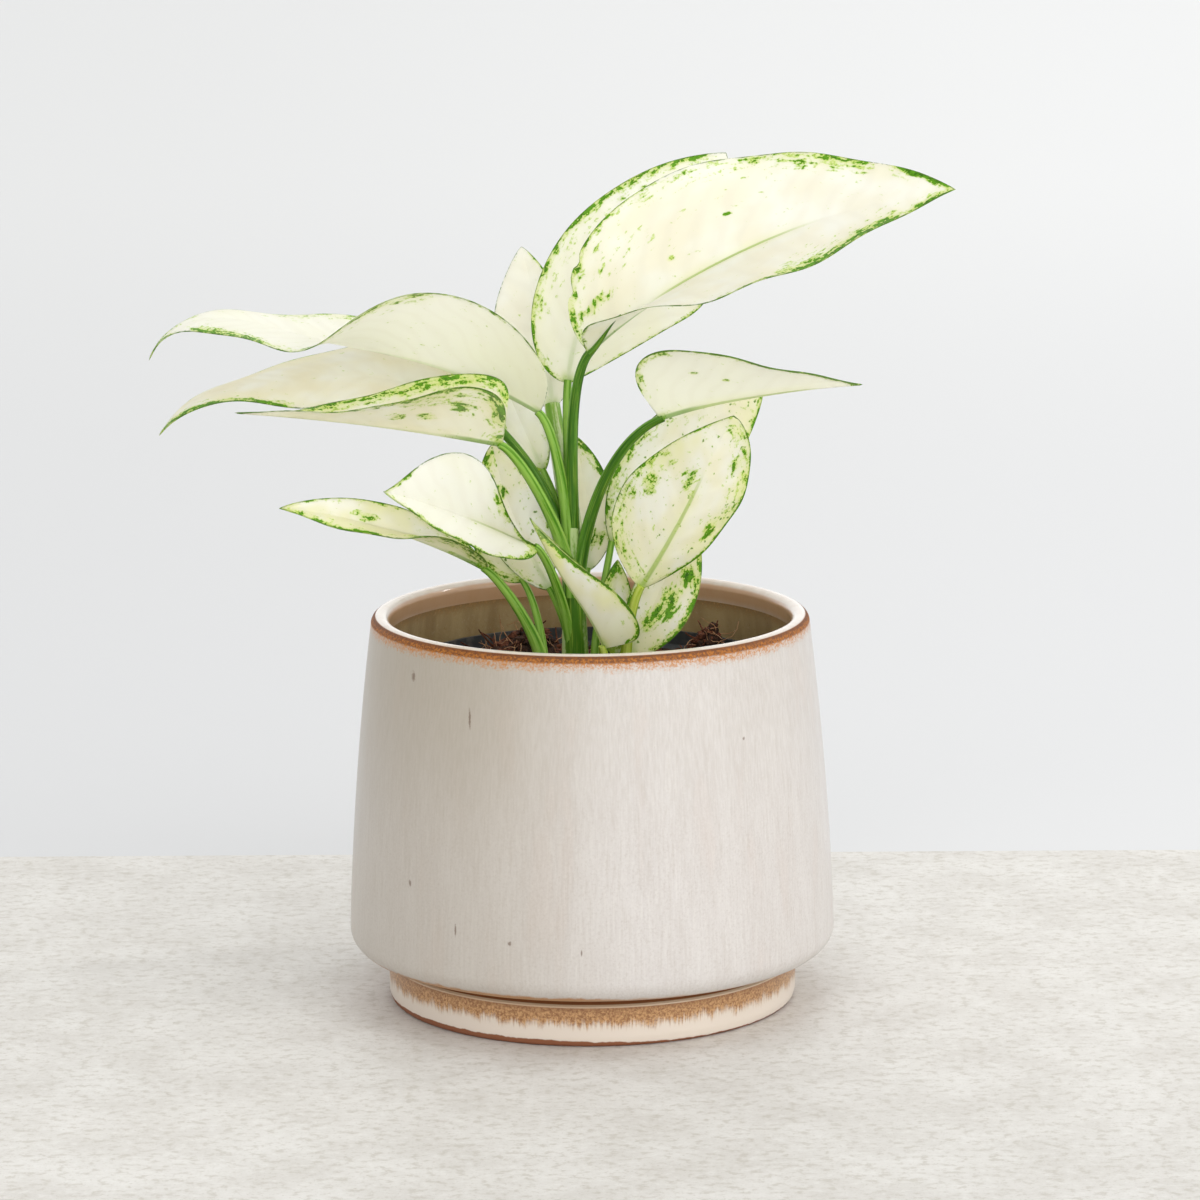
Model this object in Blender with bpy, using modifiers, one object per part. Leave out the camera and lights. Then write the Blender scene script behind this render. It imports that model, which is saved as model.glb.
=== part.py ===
"""Potted Chinese evergreen: a cream-leaved house plant in its plastic grower's pot, set in a glazed
stoneware pot with a stepped foot. Metres, +Z up. The origin is the middle of the stoneware pot's flat
underside, and the plant's show side faces -Y."""

import math

import bmesh
import bpy
import numpy as np

MM = 0.001
GAP = 0.0003

# Stoneware pot
POT_HEIGHT = 0.1295
LIP_RADIUS = 0.0031
LIP_OUTER = 0.0722
BELLY_OUTER = 0.0804
BELLY_BOTTOM = 0.0260
BELLY_BULGE = 0.0011
BODY_UNDERSIDE = 0.0172
BODY_ROUNDING = 0.0074
WALL = 0.0062
FLOOR = 0.0090
FOOT_RADIUS = 0.0677
FOOT_NECK = 0.0666
FOOT_TOP = 0.0142
FOOT_ROUNDING = 0.0020
FOOT_BEVEL = 0.0006
NECK_SINK = 0.0004
FOOT_INSIDE = 0.0604
FOOT_CORNER = 0.006
LEDGE_HEIGHT = 0.0230
LEDGE_ROUNDING = 0.004
INSIDE_CORNER = 0.008
WALL_STEPS = 6
POT_STEPS = 56

# Grower's pot inside it
INNER_POT_TOP = 0.1120
INNER_POT_RIM = 0.0612
INNER_POT_SHOULDER = 0.0590
INNER_POT_BASE = 0.0440
INNER_POT_WALL = 0.0012
INNER_POT_RIM_DROP = 0.0070
DRAIN_RADIUS = 0.0045
DRAIN_CIRCLE = 0.0280
DRAIN_COUNT = 6
DRAIN_CUT = 0.01
INNER_POT_STEPS = 48

# Soil
SOIL_LEVEL = 0.1070
SOIL_RINGS = 8
SOIL_SEGMENTS = 40
ROOT_LENGTH = 0.0110
ROOT_CLEARANCE = 0.0005
HOLE_HEIGHT = 0.04
# Mounds on the soil: x, y, height and spread, mm
MOUNDS = ((-19, 33, 10.0, 9), (-30, 24, 5.0, 9), (41, 38, 9.0, 6), (-4, 4, 3.0, 16), (6, -40, 2.0, 14))

# Leaves
BLADE_THICKNESS = 0.00065
BLADE_ROWS = 13
BLADE_COLUMNS = 3
ROW_SPACING = 1.15
OUTLINE_POWER = 1.5
MARGIN_SWEEP = 0.1

# Blade lengths and half widths in mm, angles in degrees. Angles in a list are evenly spaced from the leaf
# stalk to the tip. base is where the midrib starts. slope is the midrib's direction seen from the front,
# anticlockwise from +X, and toward is its tilt to the viewer. Left and right are those of someone who looks
# from the stalk to the tip. width is a half's greatest width, peak is how far along the leaf that is, and
# lean is how far the half turns from the front plane to the viewer: over 90 folds it across the midrib.
# sweep pushes the margin on towards the tip, and power is how fast the width falls off beyond the peak.
BLADES = {
    # the largest, on top, held out to the right
    "leaf_top": dict(
        base=(0, -5, 216), length=133, slope=(44, 33, 25, 17, 6), toward=(8,),
        left=dict(width=34, peak=0.37, lean=(-15, -15, -28, -42, -45), sweep=-0.12),
        right=dict(width=31, peak=0.42, lean=(140, 98, 76, 64, 55), sweep=-0.4, power=2.1),
    ),
    # upright, close behind the top leaf
    "leaf_top_back": dict(
        base=(-7, 8, 204), length=97, slope=(84, 68, 52, 41, 28), toward=(-15,),
        left=dict(width=18.5, peak=0.35, lean=(-10,)),
        right=dict(width=33, peak=0.52, lean=(10,)),
    ),
    # narrow, leaning back
    "leaf_spear": dict(
        base=(-12, 14, 195), length=59, slope=(96, 102, 106), toward=(-30,),
        left=dict(width=16, peak=0.42, lean=(0,)),
        right=dict(width=10, peak=0.42, lean=(0,)),
    ),
    # long and folded upwards, held out to the left, with a hooked tip
    "leaf_upper_left": dict(
        base=(-16, -3, 196), length=139, slope=(147, 155, 165, 170, 165, 188, 250), toward=(10, 6, -4, -6, 0, 10),
        left=dict(width=34, peak=0.30, lean=(140, 142, 136, 96, 82, 80, 88), sweep=0.2),
        right=dict(width=28, peak=0.36, lean=(-62, -68, -76, -82, -80), power=2.8),
    ),
    # folded, below it and nearer to the front
    "leaf_left_front": dict(
        base=(-28, -18, 188), length=88, slope=(167, 171, 175), toward=(10,),
        left=dict(width=23, peak=0.16, lean=(150, 140, 120, 115, 120), sweep=0.15),
        right=dict(width=22, peak=0.10, lean=(-20, -27, -50, -70, -80), sweep=0.0),
    ),
    # broad and open, between those two, with a long drooping tip
    "leaf_left_back": dict(
        base=(-40, 2, 199), length=108, slope=(157, 172, 184, 193, 238), toward=(-10, -6, 6, 10, 10),
        left=dict(width=18, peak=0.38, lean=(60, 60, 64, 75, 80)),
        right=dict(width=21, peak=0.34, lean=(-45, -60, -80, -88, -90)),
    ),
    # lowest on the left
    "leaf_low_left": dict(
        base=(-34, -12, 146), length=74, slope=(147, 154, 160, 165, 172), toward=(20, 16, 16, 20),
        left=dict(width=8.5, peak=0.32, lean=(140, 125, 85, 50, 40)),
        right=dict(width=8.5, peak=0.42, lean=(-40, -40, -20, -10)),
    ),
    # broad, in front of the stem on the left
    "leaf_front_left": dict(
        base=(-17, -14, 153.5), length=60, slope=(150, 154, 161), toward=(25,),
        left=dict(width=10, peak=0.40, lean=(45,), sweep=-0.3),
        right=dict(width=20, peak=0.60, lean=(60, 40, 10, 0, 0), sweep=0.25, power=3.5),
    ),
    # upright, close to the stem on the left
    "leaf_inner_left": dict(
        base=(-13, -2, 137), length=53, slope=(120, 111, 101), toward=(3,),
        left=dict(width=10.5, peak=0.48, lean=(0,)),
        right=dict(width=10.5, peak=0.50, lean=(0,)),
    ),
    # folded upwards, on its own long stalk to the right
    "leaf_upper_right": dict(
        base=(23, -10, 195), length=68, slope=(21, 13, 9, 4), toward=(12,),
        left=dict(width=15, peak=0.22, lean=(-70, -75, -80, -80), sweep=-0.15),
        right=dict(width=25, peak=0.20, lean=(160, 152, 140, 133, 134), sweep=-0.18),
    ),
    # behind it
    "leaf_right_back": dict(
        base=(7, 4, 151), length=75, slope=(80, 56, 38, 31, 26), toward=(-13,),
        left=dict(width=12, peak=0.58, lean=(-10,)),
        right=dict(width=20, peak=0.45, lean=(10,)),
    ),
    # broad, front right, its underside towards the front
    "leaf_front_right": dict(
        base=(16, -26, 142), length=69, slope=(58, 63, 66, 62), toward=(15,),
        left=dict(width=23, peak=0.32, lean=(-25,)),
        right=dict(width=17, peak=0.55, lean=(-25,)),
    ),
    # lowest on the right
    "leaf_low_right": dict(
        base=(12, -16, 118), length=51, slope=(60, 66, 68), toward=(-7,),
        left=dict(width=8.5, peak=0.42, lean=(0,)),
        right=dict(width=12.5, peak=0.42, lean=(0,)),
    ),
    # young and folded, at the very front
    "leaf_young_front": dict(
        base=(4, -30, 123), length=51, slope=(108, 122, 118, 114), toward=(8,),
        left=dict(width=10, peak=0.25, lean=(-150,)),
        right=dict(width=15, peak=0.12, lean=(20,), sweep=0.0),
    ),
    # young, upright, behind it
    "leaf_young_back": dict(
        base=(8, -8, 116), length=32, slope=(90, 86), toward=(-4,),
        left=dict(width=6, peak=0.42, lean=(0,)),
        right=dict(width=6, peak=0.42, lean=(0,)),
    ),
    # small, behind the front left one
    "leaf_small_left": dict(
        base=(-22, 3, 139), length=27, slope=(135,), toward=(-20,),
        left=dict(width=6, peak=0.42, lean=(0,)),
        right=dict(width=5, peak=0.42, lean=(0,)),
    ),
    # upright, behind the stem on the right
    "leaf_inner_right": dict(
        base=(-1, 10, 141), length=46, slope=(81, 97, 106), toward=(-15,),
        left=dict(width=6.5, peak=0.40, lean=(0,)),
        right=dict(width=8.5, peak=0.45, lean=(0,)),
    ),
    # upright, behind the stalks on the left
    "leaf_inner_upper": dict(
        base=(-15, 6, 175), length=38, slope=(116, 112), toward=(-13,),
        left=dict(width=7, peak=0.42, lean=(0,)),
        right=dict(width=7, peak=0.42, lean=(0,)),
    ),
}

# Shoots: each stalk starts upright at its foot and bends into the line of the blade it bears, or into an
# upright top. radii are at its foot and its end, mm. reach is how far it keeps its first and last
# direction, as a part of the straight distance. The first stalk of a shoot leaves the soil at its foot, and
# its root goes straight down from there.
SHOOTS = {
    "shoot_main": [
        dict(foot=(-5, 0, 108), top=(-6, -1, 158), radii=(4.7, 2.8)),
        dict(foot=(-5, -1, 136), leaf="leaf_top", radii=(2.4, 1.4), reach=(0.9, 0.5)),
        dict(foot=(-6, 1, 148), leaf="leaf_top_back", radii=(2.0, 1.3)),
        dict(foot=(-5, 1, 140), leaf="leaf_spear", radii=(2.8, 1.4)),
        dict(foot=(-7, -2, 147), leaf="leaf_upper_left", radii=(2.2, 1.3), reach=(1.2, 0.4)),
        dict(foot=(-8, 0, 147), leaf="leaf_left_back", radii=(2.0, 1.2)),
        dict(foot=(-6, -3, 135), leaf="leaf_left_front", radii=(2.4, 1.3), reach=(1.0, 0.3)),
        dict(foot=(-4, -2, 134), leaf="leaf_upper_right", radii=(2.4, 1.3), reach=(0.9, 0.9)),
        dict(foot=(-6, -1, 110), leaf="leaf_front_left", radii=(2.0, 1.2), reach=(1.2, 0.3)),
        dict(foot=(-6, 0, 112), leaf="leaf_inner_left", radii=(1.6, 1.1)),
        dict(foot=(-9, 1, 155), leaf="leaf_inner_upper", radii=(1.5, 1.1)),
        dict(foot=(-4, 2, 120), leaf="leaf_inner_right", radii=(1.6, 1.1)),
    ],
    "shoot_left": [
        dict(foot=(-15, -10, 108), leaf="leaf_low_left", radii=(2.4, 1.2), reach=(1.0, 0.5)),
        dict(foot=(-15, -9, 110), leaf="leaf_small_left", radii=(1.6, 1.0)),
    ],
    "shoot_right": [
        dict(foot=(11, -20, 108), leaf="leaf_front_right", radii=(2.2, 1.3)),
        dict(foot=(11, -20, 109), leaf="leaf_low_right", radii=(1.6, 1.1)),
    ],
    "shoot_inner": [dict(foot=(1, -5, 108), leaf="leaf_right_back", radii=(1.5, 1.1))],
    "shoot_young_front": [dict(foot=(6, -28, 108), leaf="leaf_young_front", radii=(1.9, 1.2))],
    "shoot_young_back": [dict(foot=(8, -9, 108), leaf="leaf_young_back", radii=(1.4, 1.0))],
}
USUAL_REACH = (1.0, 0.6)
STALK_TO_BLADE = 0.8
STALK_STEPS = 10

# Colours (linear RGB), roughness
GLAZE = ((0.56, 0.50, 0.43), 0.22)
PLASTIC = ((0.03, 0.035, 0.04), 0.45)
EARTH = ((0.035, 0.018, 0.010), 0.95)
BLADE = ((0.80, 0.80, 0.55), 0.40)
STALK = ((0.16, 0.36, 0.03), 0.38)


def clear_scene():
    for obj in list(bpy.data.objects):
        bpy.data.objects.remove(obj, do_unlink=True)


def new_collection(name):
    coll = bpy.data.collections.new(name)
    bpy.context.scene.collection.children.link(coll)
    return coll


def material(name, look):
    mat = bpy.data.materials.new(name)
    mat.use_nodes = True
    shader = mat.node_tree.nodes["Principled BSDF"]
    shader.inputs["Base Color"].default_value = (*look[0], 1.0)
    shader.inputs["Roughness"].default_value = look[1]
    shader.inputs["Metallic"].default_value = 0.0
    return mat


def add_object(name, mesh, coll, look=None, smooth_angle=40.0):
    obj = bpy.data.objects.new(name, mesh)
    coll.objects.link(obj)
    mesh.shade_smooth()
    mesh.set_sharp_from_angle(angle=math.radians(smooth_angle))
    if look:
        mesh.materials.append(material(name + "_look", look))
    return obj


def hide_as_cutter(obj):
    obj.hide_render = True
    obj.display_type = "WIRE"


def arc(centre, radius, start, end, steps):
    """Points in the (radius, height) plane from one angle in degrees to another."""
    points = []
    for i in range(steps + 1):
        a = math.radians(start + (end - start) * i / steps)
        points.append((centre[0] + radius * math.cos(a), centre[1] + radius * math.sin(a)))
    return points


def turned(name, profile, coll, look, steps):
    """A profile from the axis, up the inside, over the rim, down the outside and back to the axis."""
    mesh = bpy.data.meshes.new(name)
    verts = [(r, 0.0, z) for r, z in profile]
    mesh.from_pydata(verts, [(i, i + 1) for i in range(len(verts) - 1)], [])
    obj = add_object(name, mesh, coll, look)
    screw = obj.modifiers.new("turn", "SCREW")
    screw.axis = "Z"
    screw.steps = steps
    screw.render_steps = steps
    screw.use_merge_vertices = True
    screw.merge_threshold = 0.00005
    screw.use_smooth_shade = True
    return obj


def keyed(keys, u):
    """Smooth value, at u in 0..1, of values that are evenly spaced from 0 to 1."""
    if len(keys) == 1:
        return np.full(u.shape, float(keys[0]))
    k = np.array([2 * keys[0] - keys[1], *keys, 2 * keys[-1] - keys[-2]], float)
    x = np.clip(u, 0.0, 1.0) * (len(keys) - 1)
    i = np.minimum(x.astype(int), len(keys) - 2)
    t = x - i
    a, b, c, d = k[i], k[i + 1], k[i + 2], k[i + 3]
    return 0.5 * (2 * b + (c - a) * t + (2 * a - 5 * b + 4 * c - d) * t**2 + (3 * b - a - 3 * c + d) * t**3)


def heading(leaf, u):
    """Direction of the midrib at u, from the leaf stalk (0) to the tip (1)."""
    slope = np.radians(keyed(leaf["slope"], u))
    toward = np.radians(keyed(leaf["toward"], u))
    return np.stack([np.cos(slope) * np.cos(toward), -np.sin(toward), np.sin(slope) * np.cos(toward)], -1)


def midrib(leaf, u):
    """Points of the midrib at u, in mm."""
    fine = np.linspace(0.0, 1.0, 201)
    steps = heading(leaf, (fine[1:] + fine[:-1]) / 2) * leaf["length"] / 200
    route = np.vstack([np.zeros(3), np.cumsum(steps, axis=0)]) + np.array(leaf["base"], float)
    return np.stack([np.interp(u, fine, route[:, k]) for k in range(3)], -1)


def half_blade(leaf, side, rows, columns):
    """Points of one half, in mm: rows from the stalk to the tip, columns from the midrib to the margin."""
    half = leaf[side]
    sign = 1.0 if side == "left" else -1.0
    u = np.linspace(0.0, 1.0, rows + 1) ** ROW_SPACING
    peak = half["peak"]
    power = half.get("power", OUTLINE_POWER)
    width = half["width"] * (u / peak) ** (power * peak) * ((1 - u) / (1 - peak)) ** (power * (1 - peak))
    along = heading(leaf, u)
    across = np.stack([-along[:, 2], np.zeros(rows + 1), along[:, 0]], -1)
    across /= np.linalg.norm(across, axis=1)[:, None]
    front = np.cross(along, across)
    front *= np.where(front[:, 1:2] > 0, -1.0, 1.0)
    lean = np.radians(keyed(half["lean"], u))[:, None]
    sweep = half.get("sweep", MARGIN_SWEEP) * (1 - u)[:, None]
    outward = sign * np.cos(lean) * across + np.sin(lean) * front + sweep * along
    reach = width[:, None] * np.linspace(0.0, 1.0, columns + 1)
    return midrib(leaf, u)[:, None, :] + reach[:, :, None] * outward[:, None, :]


def blade(name, leaf, coll):
    """Two halves that share the midrib, thickened on both sides of that surface."""
    left = half_blade(leaf, "left", BLADE_ROWS, BLADE_COLUMNS)
    right = half_blade(leaf, "right", BLADE_ROWS, BLADE_COLUMNS)
    bm = bmesh.new()
    start = bm.verts.new(left[0, 0] * MM)
    tip = bm.verts.new(left[-1, 0] * MM)
    rows = []
    for i in range(1, BLADE_ROWS):
        points = list(left[i, ::-1]) + list(right[i, 1:])
        rows.append([bm.verts.new(p * MM) for p in points])
    for j in range(2 * BLADE_COLUMNS):
        bm.faces.new((start, rows[0][j + 1], rows[0][j]))
        bm.faces.new((tip, rows[-1][j], rows[-1][j + 1]))
    for low, high in zip(rows, rows[1:]):
        for j in range(2 * BLADE_COLUMNS):
            a, b, c, d = low[j], low[j + 1], high[j + 1], high[j]
            if j < BLADE_COLUMNS:
                bm.faces.new((a, b, c))
                bm.faces.new((a, c, d))
            else:
                bm.faces.new((a, b, d))
                bm.faces.new((b, c, d))
    mesh = bpy.data.meshes.new(name)
    bm.to_mesh(mesh)
    bm.free()
    obj = add_object(name, mesh, coll, BLADE)
    solid = obj.modifiers.new("thickness", "SOLIDIFY")
    solid.thickness = BLADE_THICKNESS
    solid.offset = 0.0
    return obj


def stalk_route(stalk):
    """Points of a stalk, in mm: a cubic from its upright foot to just short of its blade, or to its top."""
    start = np.array(stalk["foot"], float)
    upright = np.array((0.0, 0.0, 1.0))
    if "leaf" in stalk:
        leaf = BLADES[stalk["leaf"]]
        last = heading(leaf, np.zeros(1))[0]
        end = np.array(leaf["base"], float) - STALK_TO_BLADE * last
    else:
        last = upright
        end = np.array(stalk["top"], float)
    first_reach, last_reach = stalk.get("reach", USUAL_REACH)
    span = np.linalg.norm(end - start)
    t = np.linspace(0.0, 1.0, STALK_STEPS + 1)[:, None]
    bend = (t**3 - 2 * t**2 + t) * upright * span * first_reach + (t**3 - t**2) * last * span * last_reach
    return (2 * t**3 - 3 * t**2 + 1) * start + (3 * t**2 - 2 * t**3) * end + bend


def stalk_mesh(name, stalk, root):
    """A tapered tube along the stalk's route, as a closed mesh, with or without a root below it."""
    route = list(stalk_route(stalk))
    if root:
        route.insert(0, route[0] - np.array((0.0, 0.0, ROOT_LENGTH / MM)))
    curve = bpy.data.curves.new(name, "CURVE")
    curve.dimensions = "3D"
    curve.bevel_depth = MM
    curve.bevel_resolution = 2
    curve.use_fill_caps = True
    spline = curve.splines.new("POLY")
    spline.points.add(len(route) - 1)
    foot_radius, end_radius = stalk["radii"]
    for i, (point, place) in enumerate(zip(spline.points, route)):
        point.co = (*(place * MM), 1.0)
        point.radius = foot_radius + (end_radius - foot_radius) * i / (len(route) - 1)
    obj = bpy.data.objects.new(name, curve)
    bpy.context.scene.collection.objects.link(obj)
    graph = bpy.context.evaluated_depsgraph_get()
    mesh = bpy.data.meshes.new_from_object(obj.evaluated_get(graph))
    bpy.data.objects.remove(obj, do_unlink=True)
    bm = bmesh.new()
    bm.from_mesh(mesh)
    bmesh.ops.remove_doubles(bm, verts=bm.verts, dist=0.00001)
    bmesh.ops.recalc_face_normals(bm, faces=bm.faces)
    bm.to_mesh(mesh)
    bm.free()
    return mesh


def shoot(name, stalks, coll, cutters):
    """The first stalk of a shoot with the others joined to it."""
    obj = add_object(name, stalk_mesh(name, stalks[0], True), coll, STALK)
    for i, stalk in enumerate(stalks[1:], 1):
        branch = add_object(f"{name}_branch_{i}", stalk_mesh(f"{name}_branch_{i}", stalk, False), cutters)
        hide_as_cutter(branch)
        join = obj.modifiers.new(f"join_{i}", "BOOLEAN")
        join.operation = "UNION"
        join.solver = "EXACT"
        join.object = branch
    return obj


def wall_radius(z):
    """Outside radius of the stoneware wall between its belly and its lip."""
    t = (z - BELLY_BOTTOM) / (POT_HEIGHT - LIP_RADIUS - BELLY_BOTTOM)
    return BELLY_OUTER + (LIP_OUTER - BELLY_OUTER) * t + 4 * BELLY_BULGE * t * (1 - t)


def stoneware_pot(coll):
    top = POT_HEIGHT - LIP_RADIUS
    heights = [BELLY_BOTTOM + (top - BELLY_BOTTOM) * i / WALL_STEPS for i in range(WALL_STEPS + 1)]
    corner_top = LEDGE_HEIGHT + INSIDE_CORNER
    inside = [(0.0, FLOOR)] + arc((FOOT_INSIDE - FOOT_CORNER, FLOOR + FOOT_CORNER), FOOT_CORNER, -90, 0, 2)
    inside += arc((FOOT_INSIDE + LEDGE_ROUNDING, LEDGE_HEIGHT - LEDGE_ROUNDING), LEDGE_ROUNDING, 180, 90, 2)
    inside += arc((wall_radius(corner_top) - WALL - INSIDE_CORNER, corner_top), INSIDE_CORNER, -90, 0, 3)
    inside += [(wall_radius(z) - WALL, z) for z in heights[1:-1]]
    lip = arc((LIP_OUTER - LIP_RADIUS, top), LIP_RADIUS, 180, 0, 6)
    outside = [(wall_radius(z), z) for z in reversed(heights[1:-1])]
    belly = arc((BELLY_OUTER - BODY_ROUNDING, BODY_UNDERSIDE + BODY_ROUNDING), BODY_ROUNDING, 0, -90, 5)
    neck = [
        (FOOT_NECK, BODY_UNDERSIDE - NECK_SINK),
        (FOOT_NECK, FOOT_TOP + FOOT_BEVEL),
        (FOOT_RADIUS, FOOT_TOP - FOOT_BEVEL),
    ]
    foot = arc((FOOT_RADIUS - FOOT_BEVEL - FOOT_ROUNDING, FOOT_ROUNDING), FOOT_ROUNDING, 0, -90, 2)
    profile = inside + lip + outside + belly + neck + foot + [(0.0, 0.0)]
    return turned("stoneware_pot", profile, coll, GLAZE, POT_STEPS)


def growers_pot(coll, cutters):
    base = FLOOR + GAP
    wall = INNER_POT_WALL
    ledge = INNER_POT_TOP - INNER_POT_RIM_DROP
    profile = [
        (0.0, base + wall),
        (INNER_POT_BASE - wall, base + wall),
        (INNER_POT_SHOULDER - wall, ledge + wall),
        (INNER_POT_RIM - wall, ledge + 2 * wall),
        (INNER_POT_RIM - wall, INNER_POT_TOP),
        (INNER_POT_RIM, INNER_POT_TOP),
        (INNER_POT_RIM, ledge + wall),
        (INNER_POT_SHOULDER, ledge),
        (INNER_POT_BASE, base),
        (0.0, base),
    ]
    obj = turned("growers_pot", profile, coll, PLASTIC, INNER_POT_STEPS)
    for i in range(DRAIN_COUNT):
        a = math.tau * i / DRAIN_COUNT
        mesh = bpy.data.meshes.new(f"drain_{i}")
        bm = bmesh.new()
        bmesh.ops.create_cone(
            bm, cap_ends=True, segments=12, radius1=DRAIN_RADIUS, radius2=DRAIN_RADIUS, depth=DRAIN_CUT
        )
        bm.to_mesh(mesh)
        bm.free()
        hole = add_object(f"drain_{i}", mesh, cutters)
        hole.location = (DRAIN_CIRCLE * math.cos(a), DRAIN_CIRCLE * math.sin(a), base)
        hide_as_cutter(hole)
        cut = obj.modifiers.new(f"drain_{i}", "BOOLEAN")
        cut.operation = "DIFFERENCE"
        cut.solver = "MANIFOLD"
        cut.object = hole
    return obj


def soil_height(x, y):
    """Level of the soil at a place in metres: a flat fill with soft mounds."""
    height = SOIL_LEVEL
    for mx, my, rise, spread in MOUNDS:
        away = math.hypot(x / MM - mx, y / MM - my)
        height += rise * MM * math.exp(-((away / spread) ** 2))
    return height


def inner_wall(z):
    """Inside radius of the grower's pot below its ledge."""
    base = FLOOR + GAP
    t = (z - base) / (INNER_POT_TOP - INNER_POT_RIM_DROP - base)
    return INNER_POT_BASE - INNER_POT_WALL + (INNER_POT_SHOULDER - INNER_POT_BASE) * min(t, 1.0)


def soil(coll, cutters):
    """The filled cone of the grower's pot, with an uneven top and a hole for each shoot."""
    bottom = FLOOR + 2 * GAP + INNER_POT_WALL
    top_radius = inner_wall(INNER_POT_TOP - INNER_POT_RIM_DROP) - 2 * GAP
    low_radius = inner_wall(bottom) - 2 * GAP
    bm = bmesh.new()
    centre = bm.verts.new((0.0, 0.0, soil_height(0.0, 0.0)))
    rings = []
    for i in range(1, SOIL_RINGS + 1):
        r = top_radius * i / SOIL_RINGS
        ring = []
        for k in range(SOIL_SEGMENTS):
            a = math.tau * k / SOIL_SEGMENTS
            x, y = r * math.cos(a), r * math.sin(a)
            z = soil_height(x, y) if i < SOIL_RINGS else INNER_POT_TOP - INNER_POT_RIM_DROP - GAP
            ring.append(bm.verts.new((x, y, z)))
        rings.append(ring)
    low = [
        bm.verts.new((low_radius * math.cos(math.tau * k / SOIL_SEGMENTS),
                      low_radius * math.sin(math.tau * k / SOIL_SEGMENTS), bottom))
        for k in range(SOIL_SEGMENTS)
    ]
    rings.append(low)
    for k in range(SOIL_SEGMENTS):
        n = (k + 1) % SOIL_SEGMENTS
        bm.faces.new((centre, rings[0][k], rings[0][n]))
        for inner, outer in zip(rings, rings[1:]):
            bm.faces.new((inner[k], outer[k], outer[n], inner[n]))
    bm.faces.new(list(reversed(low)))
    bmesh.ops.triangulate(bm, faces=bm.faces)
    mesh = bpy.data.meshes.new("soil")
    bm.to_mesh(mesh)
    bm.free()
    obj = add_object("soil", mesh, coll, EARTH)
    for name, stalks in SHOOTS.items():
        x, y, z = stalks[0]["foot"]
        radius = stalks[0]["radii"][0] * MM + ROOT_CLEARANCE
        hole_mesh = bpy.data.meshes.new(f"hole_{name}")
        cut_bm = bmesh.new()
        bmesh.ops.create_cone(cut_bm, cap_ends=True, segments=16, radius1=radius, radius2=radius, depth=HOLE_HEIGHT)
        cut_bm.to_mesh(hole_mesh)
        cut_bm.free()
        hole = add_object(f"hole_{name}", hole_mesh, cutters)
        hole.location = (x * MM, y * MM, z * MM - ROOT_LENGTH - GAP + HOLE_HEIGHT / 2)
        hide_as_cutter(hole)
        cut = obj.modifiers.new(f"hole_{name}", "BOOLEAN")
        cut.operation = "DIFFERENCE"
        cut.object = hole
    return obj


def build():
    clear_scene()
    coll = new_collection("potted_chinese_evergreen")
    cutters = new_collection("cutters")
    stoneware_pot(coll)
    growers_pot(coll, cutters)
    soil(coll, cutters)
    for name, stalks in SHOOTS.items():
        shoot(name, stalks, coll, cutters)
    for name, leaf in BLADES.items():
        blade(name, leaf, coll)


build()
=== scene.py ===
# %% [markdown]
# # A potted Chinese evergreen
# This lesson dresses a plain solid model of a house plant: long cream leaves edged in green, in a dark
# nursery pot that stands inside a glazed stoneware pot. The solids already have the right sizes and
# places, so every finer piece below is made from the same named sizes and stays where its solid is.
#
# The first cell opens the imported solids. Everything is in metres with Z up, and the origin is the middle
# of the pot's underside.

import math
import random

import bmesh
import bpy
import numpy as np
from mathutils import Matrix, Vector, noise


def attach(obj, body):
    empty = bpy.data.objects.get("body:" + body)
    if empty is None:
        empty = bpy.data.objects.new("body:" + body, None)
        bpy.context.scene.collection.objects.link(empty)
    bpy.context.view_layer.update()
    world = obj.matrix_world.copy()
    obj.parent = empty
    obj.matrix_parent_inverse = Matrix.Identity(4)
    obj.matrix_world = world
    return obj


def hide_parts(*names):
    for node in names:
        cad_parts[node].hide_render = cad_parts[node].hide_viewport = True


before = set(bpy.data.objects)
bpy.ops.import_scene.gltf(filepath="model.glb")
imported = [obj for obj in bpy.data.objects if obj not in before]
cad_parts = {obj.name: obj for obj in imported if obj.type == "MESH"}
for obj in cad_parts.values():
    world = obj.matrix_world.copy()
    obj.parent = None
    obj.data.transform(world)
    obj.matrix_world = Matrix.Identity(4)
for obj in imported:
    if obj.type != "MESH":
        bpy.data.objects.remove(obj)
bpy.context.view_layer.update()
MM = 0.001

# %% [markdown]
# ## The camera
# The photograph was taken from about 1.6 m away and 45 cm up with a long lens, so the pot's rim shows as
# a flat ellipse and the verticals hardly lean. A camera can be aimed with a Track To constraint, but its
# place, tilt and turn are known here, so its matrix is worked out directly from those angles.

# %% Placing the camera
LENS = 150.0
SENSOR = 36.0
EYE = Vector((0.0, -1.6145, 0.4509))
DOWN, TURN, ROLL = (math.radians(a) for a in (11.13, 0.114, -0.31))


def camera_matrix():
    ahead = Vector((math.sin(TURN) * math.cos(DOWN), math.cos(TURN) * math.cos(DOWN), -math.sin(DOWN)))
    level = Vector((math.cos(TURN), -math.sin(TURN), 0.0))
    above = level.cross(ahead)
    side = level * math.cos(ROLL) + above * math.sin(ROLL)
    up = above * math.cos(ROLL) - level * math.sin(ROLL)
    turned = Matrix((side, up, -ahead)).transposed().to_4x4()
    turned.translation = EYE
    return turned


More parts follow.
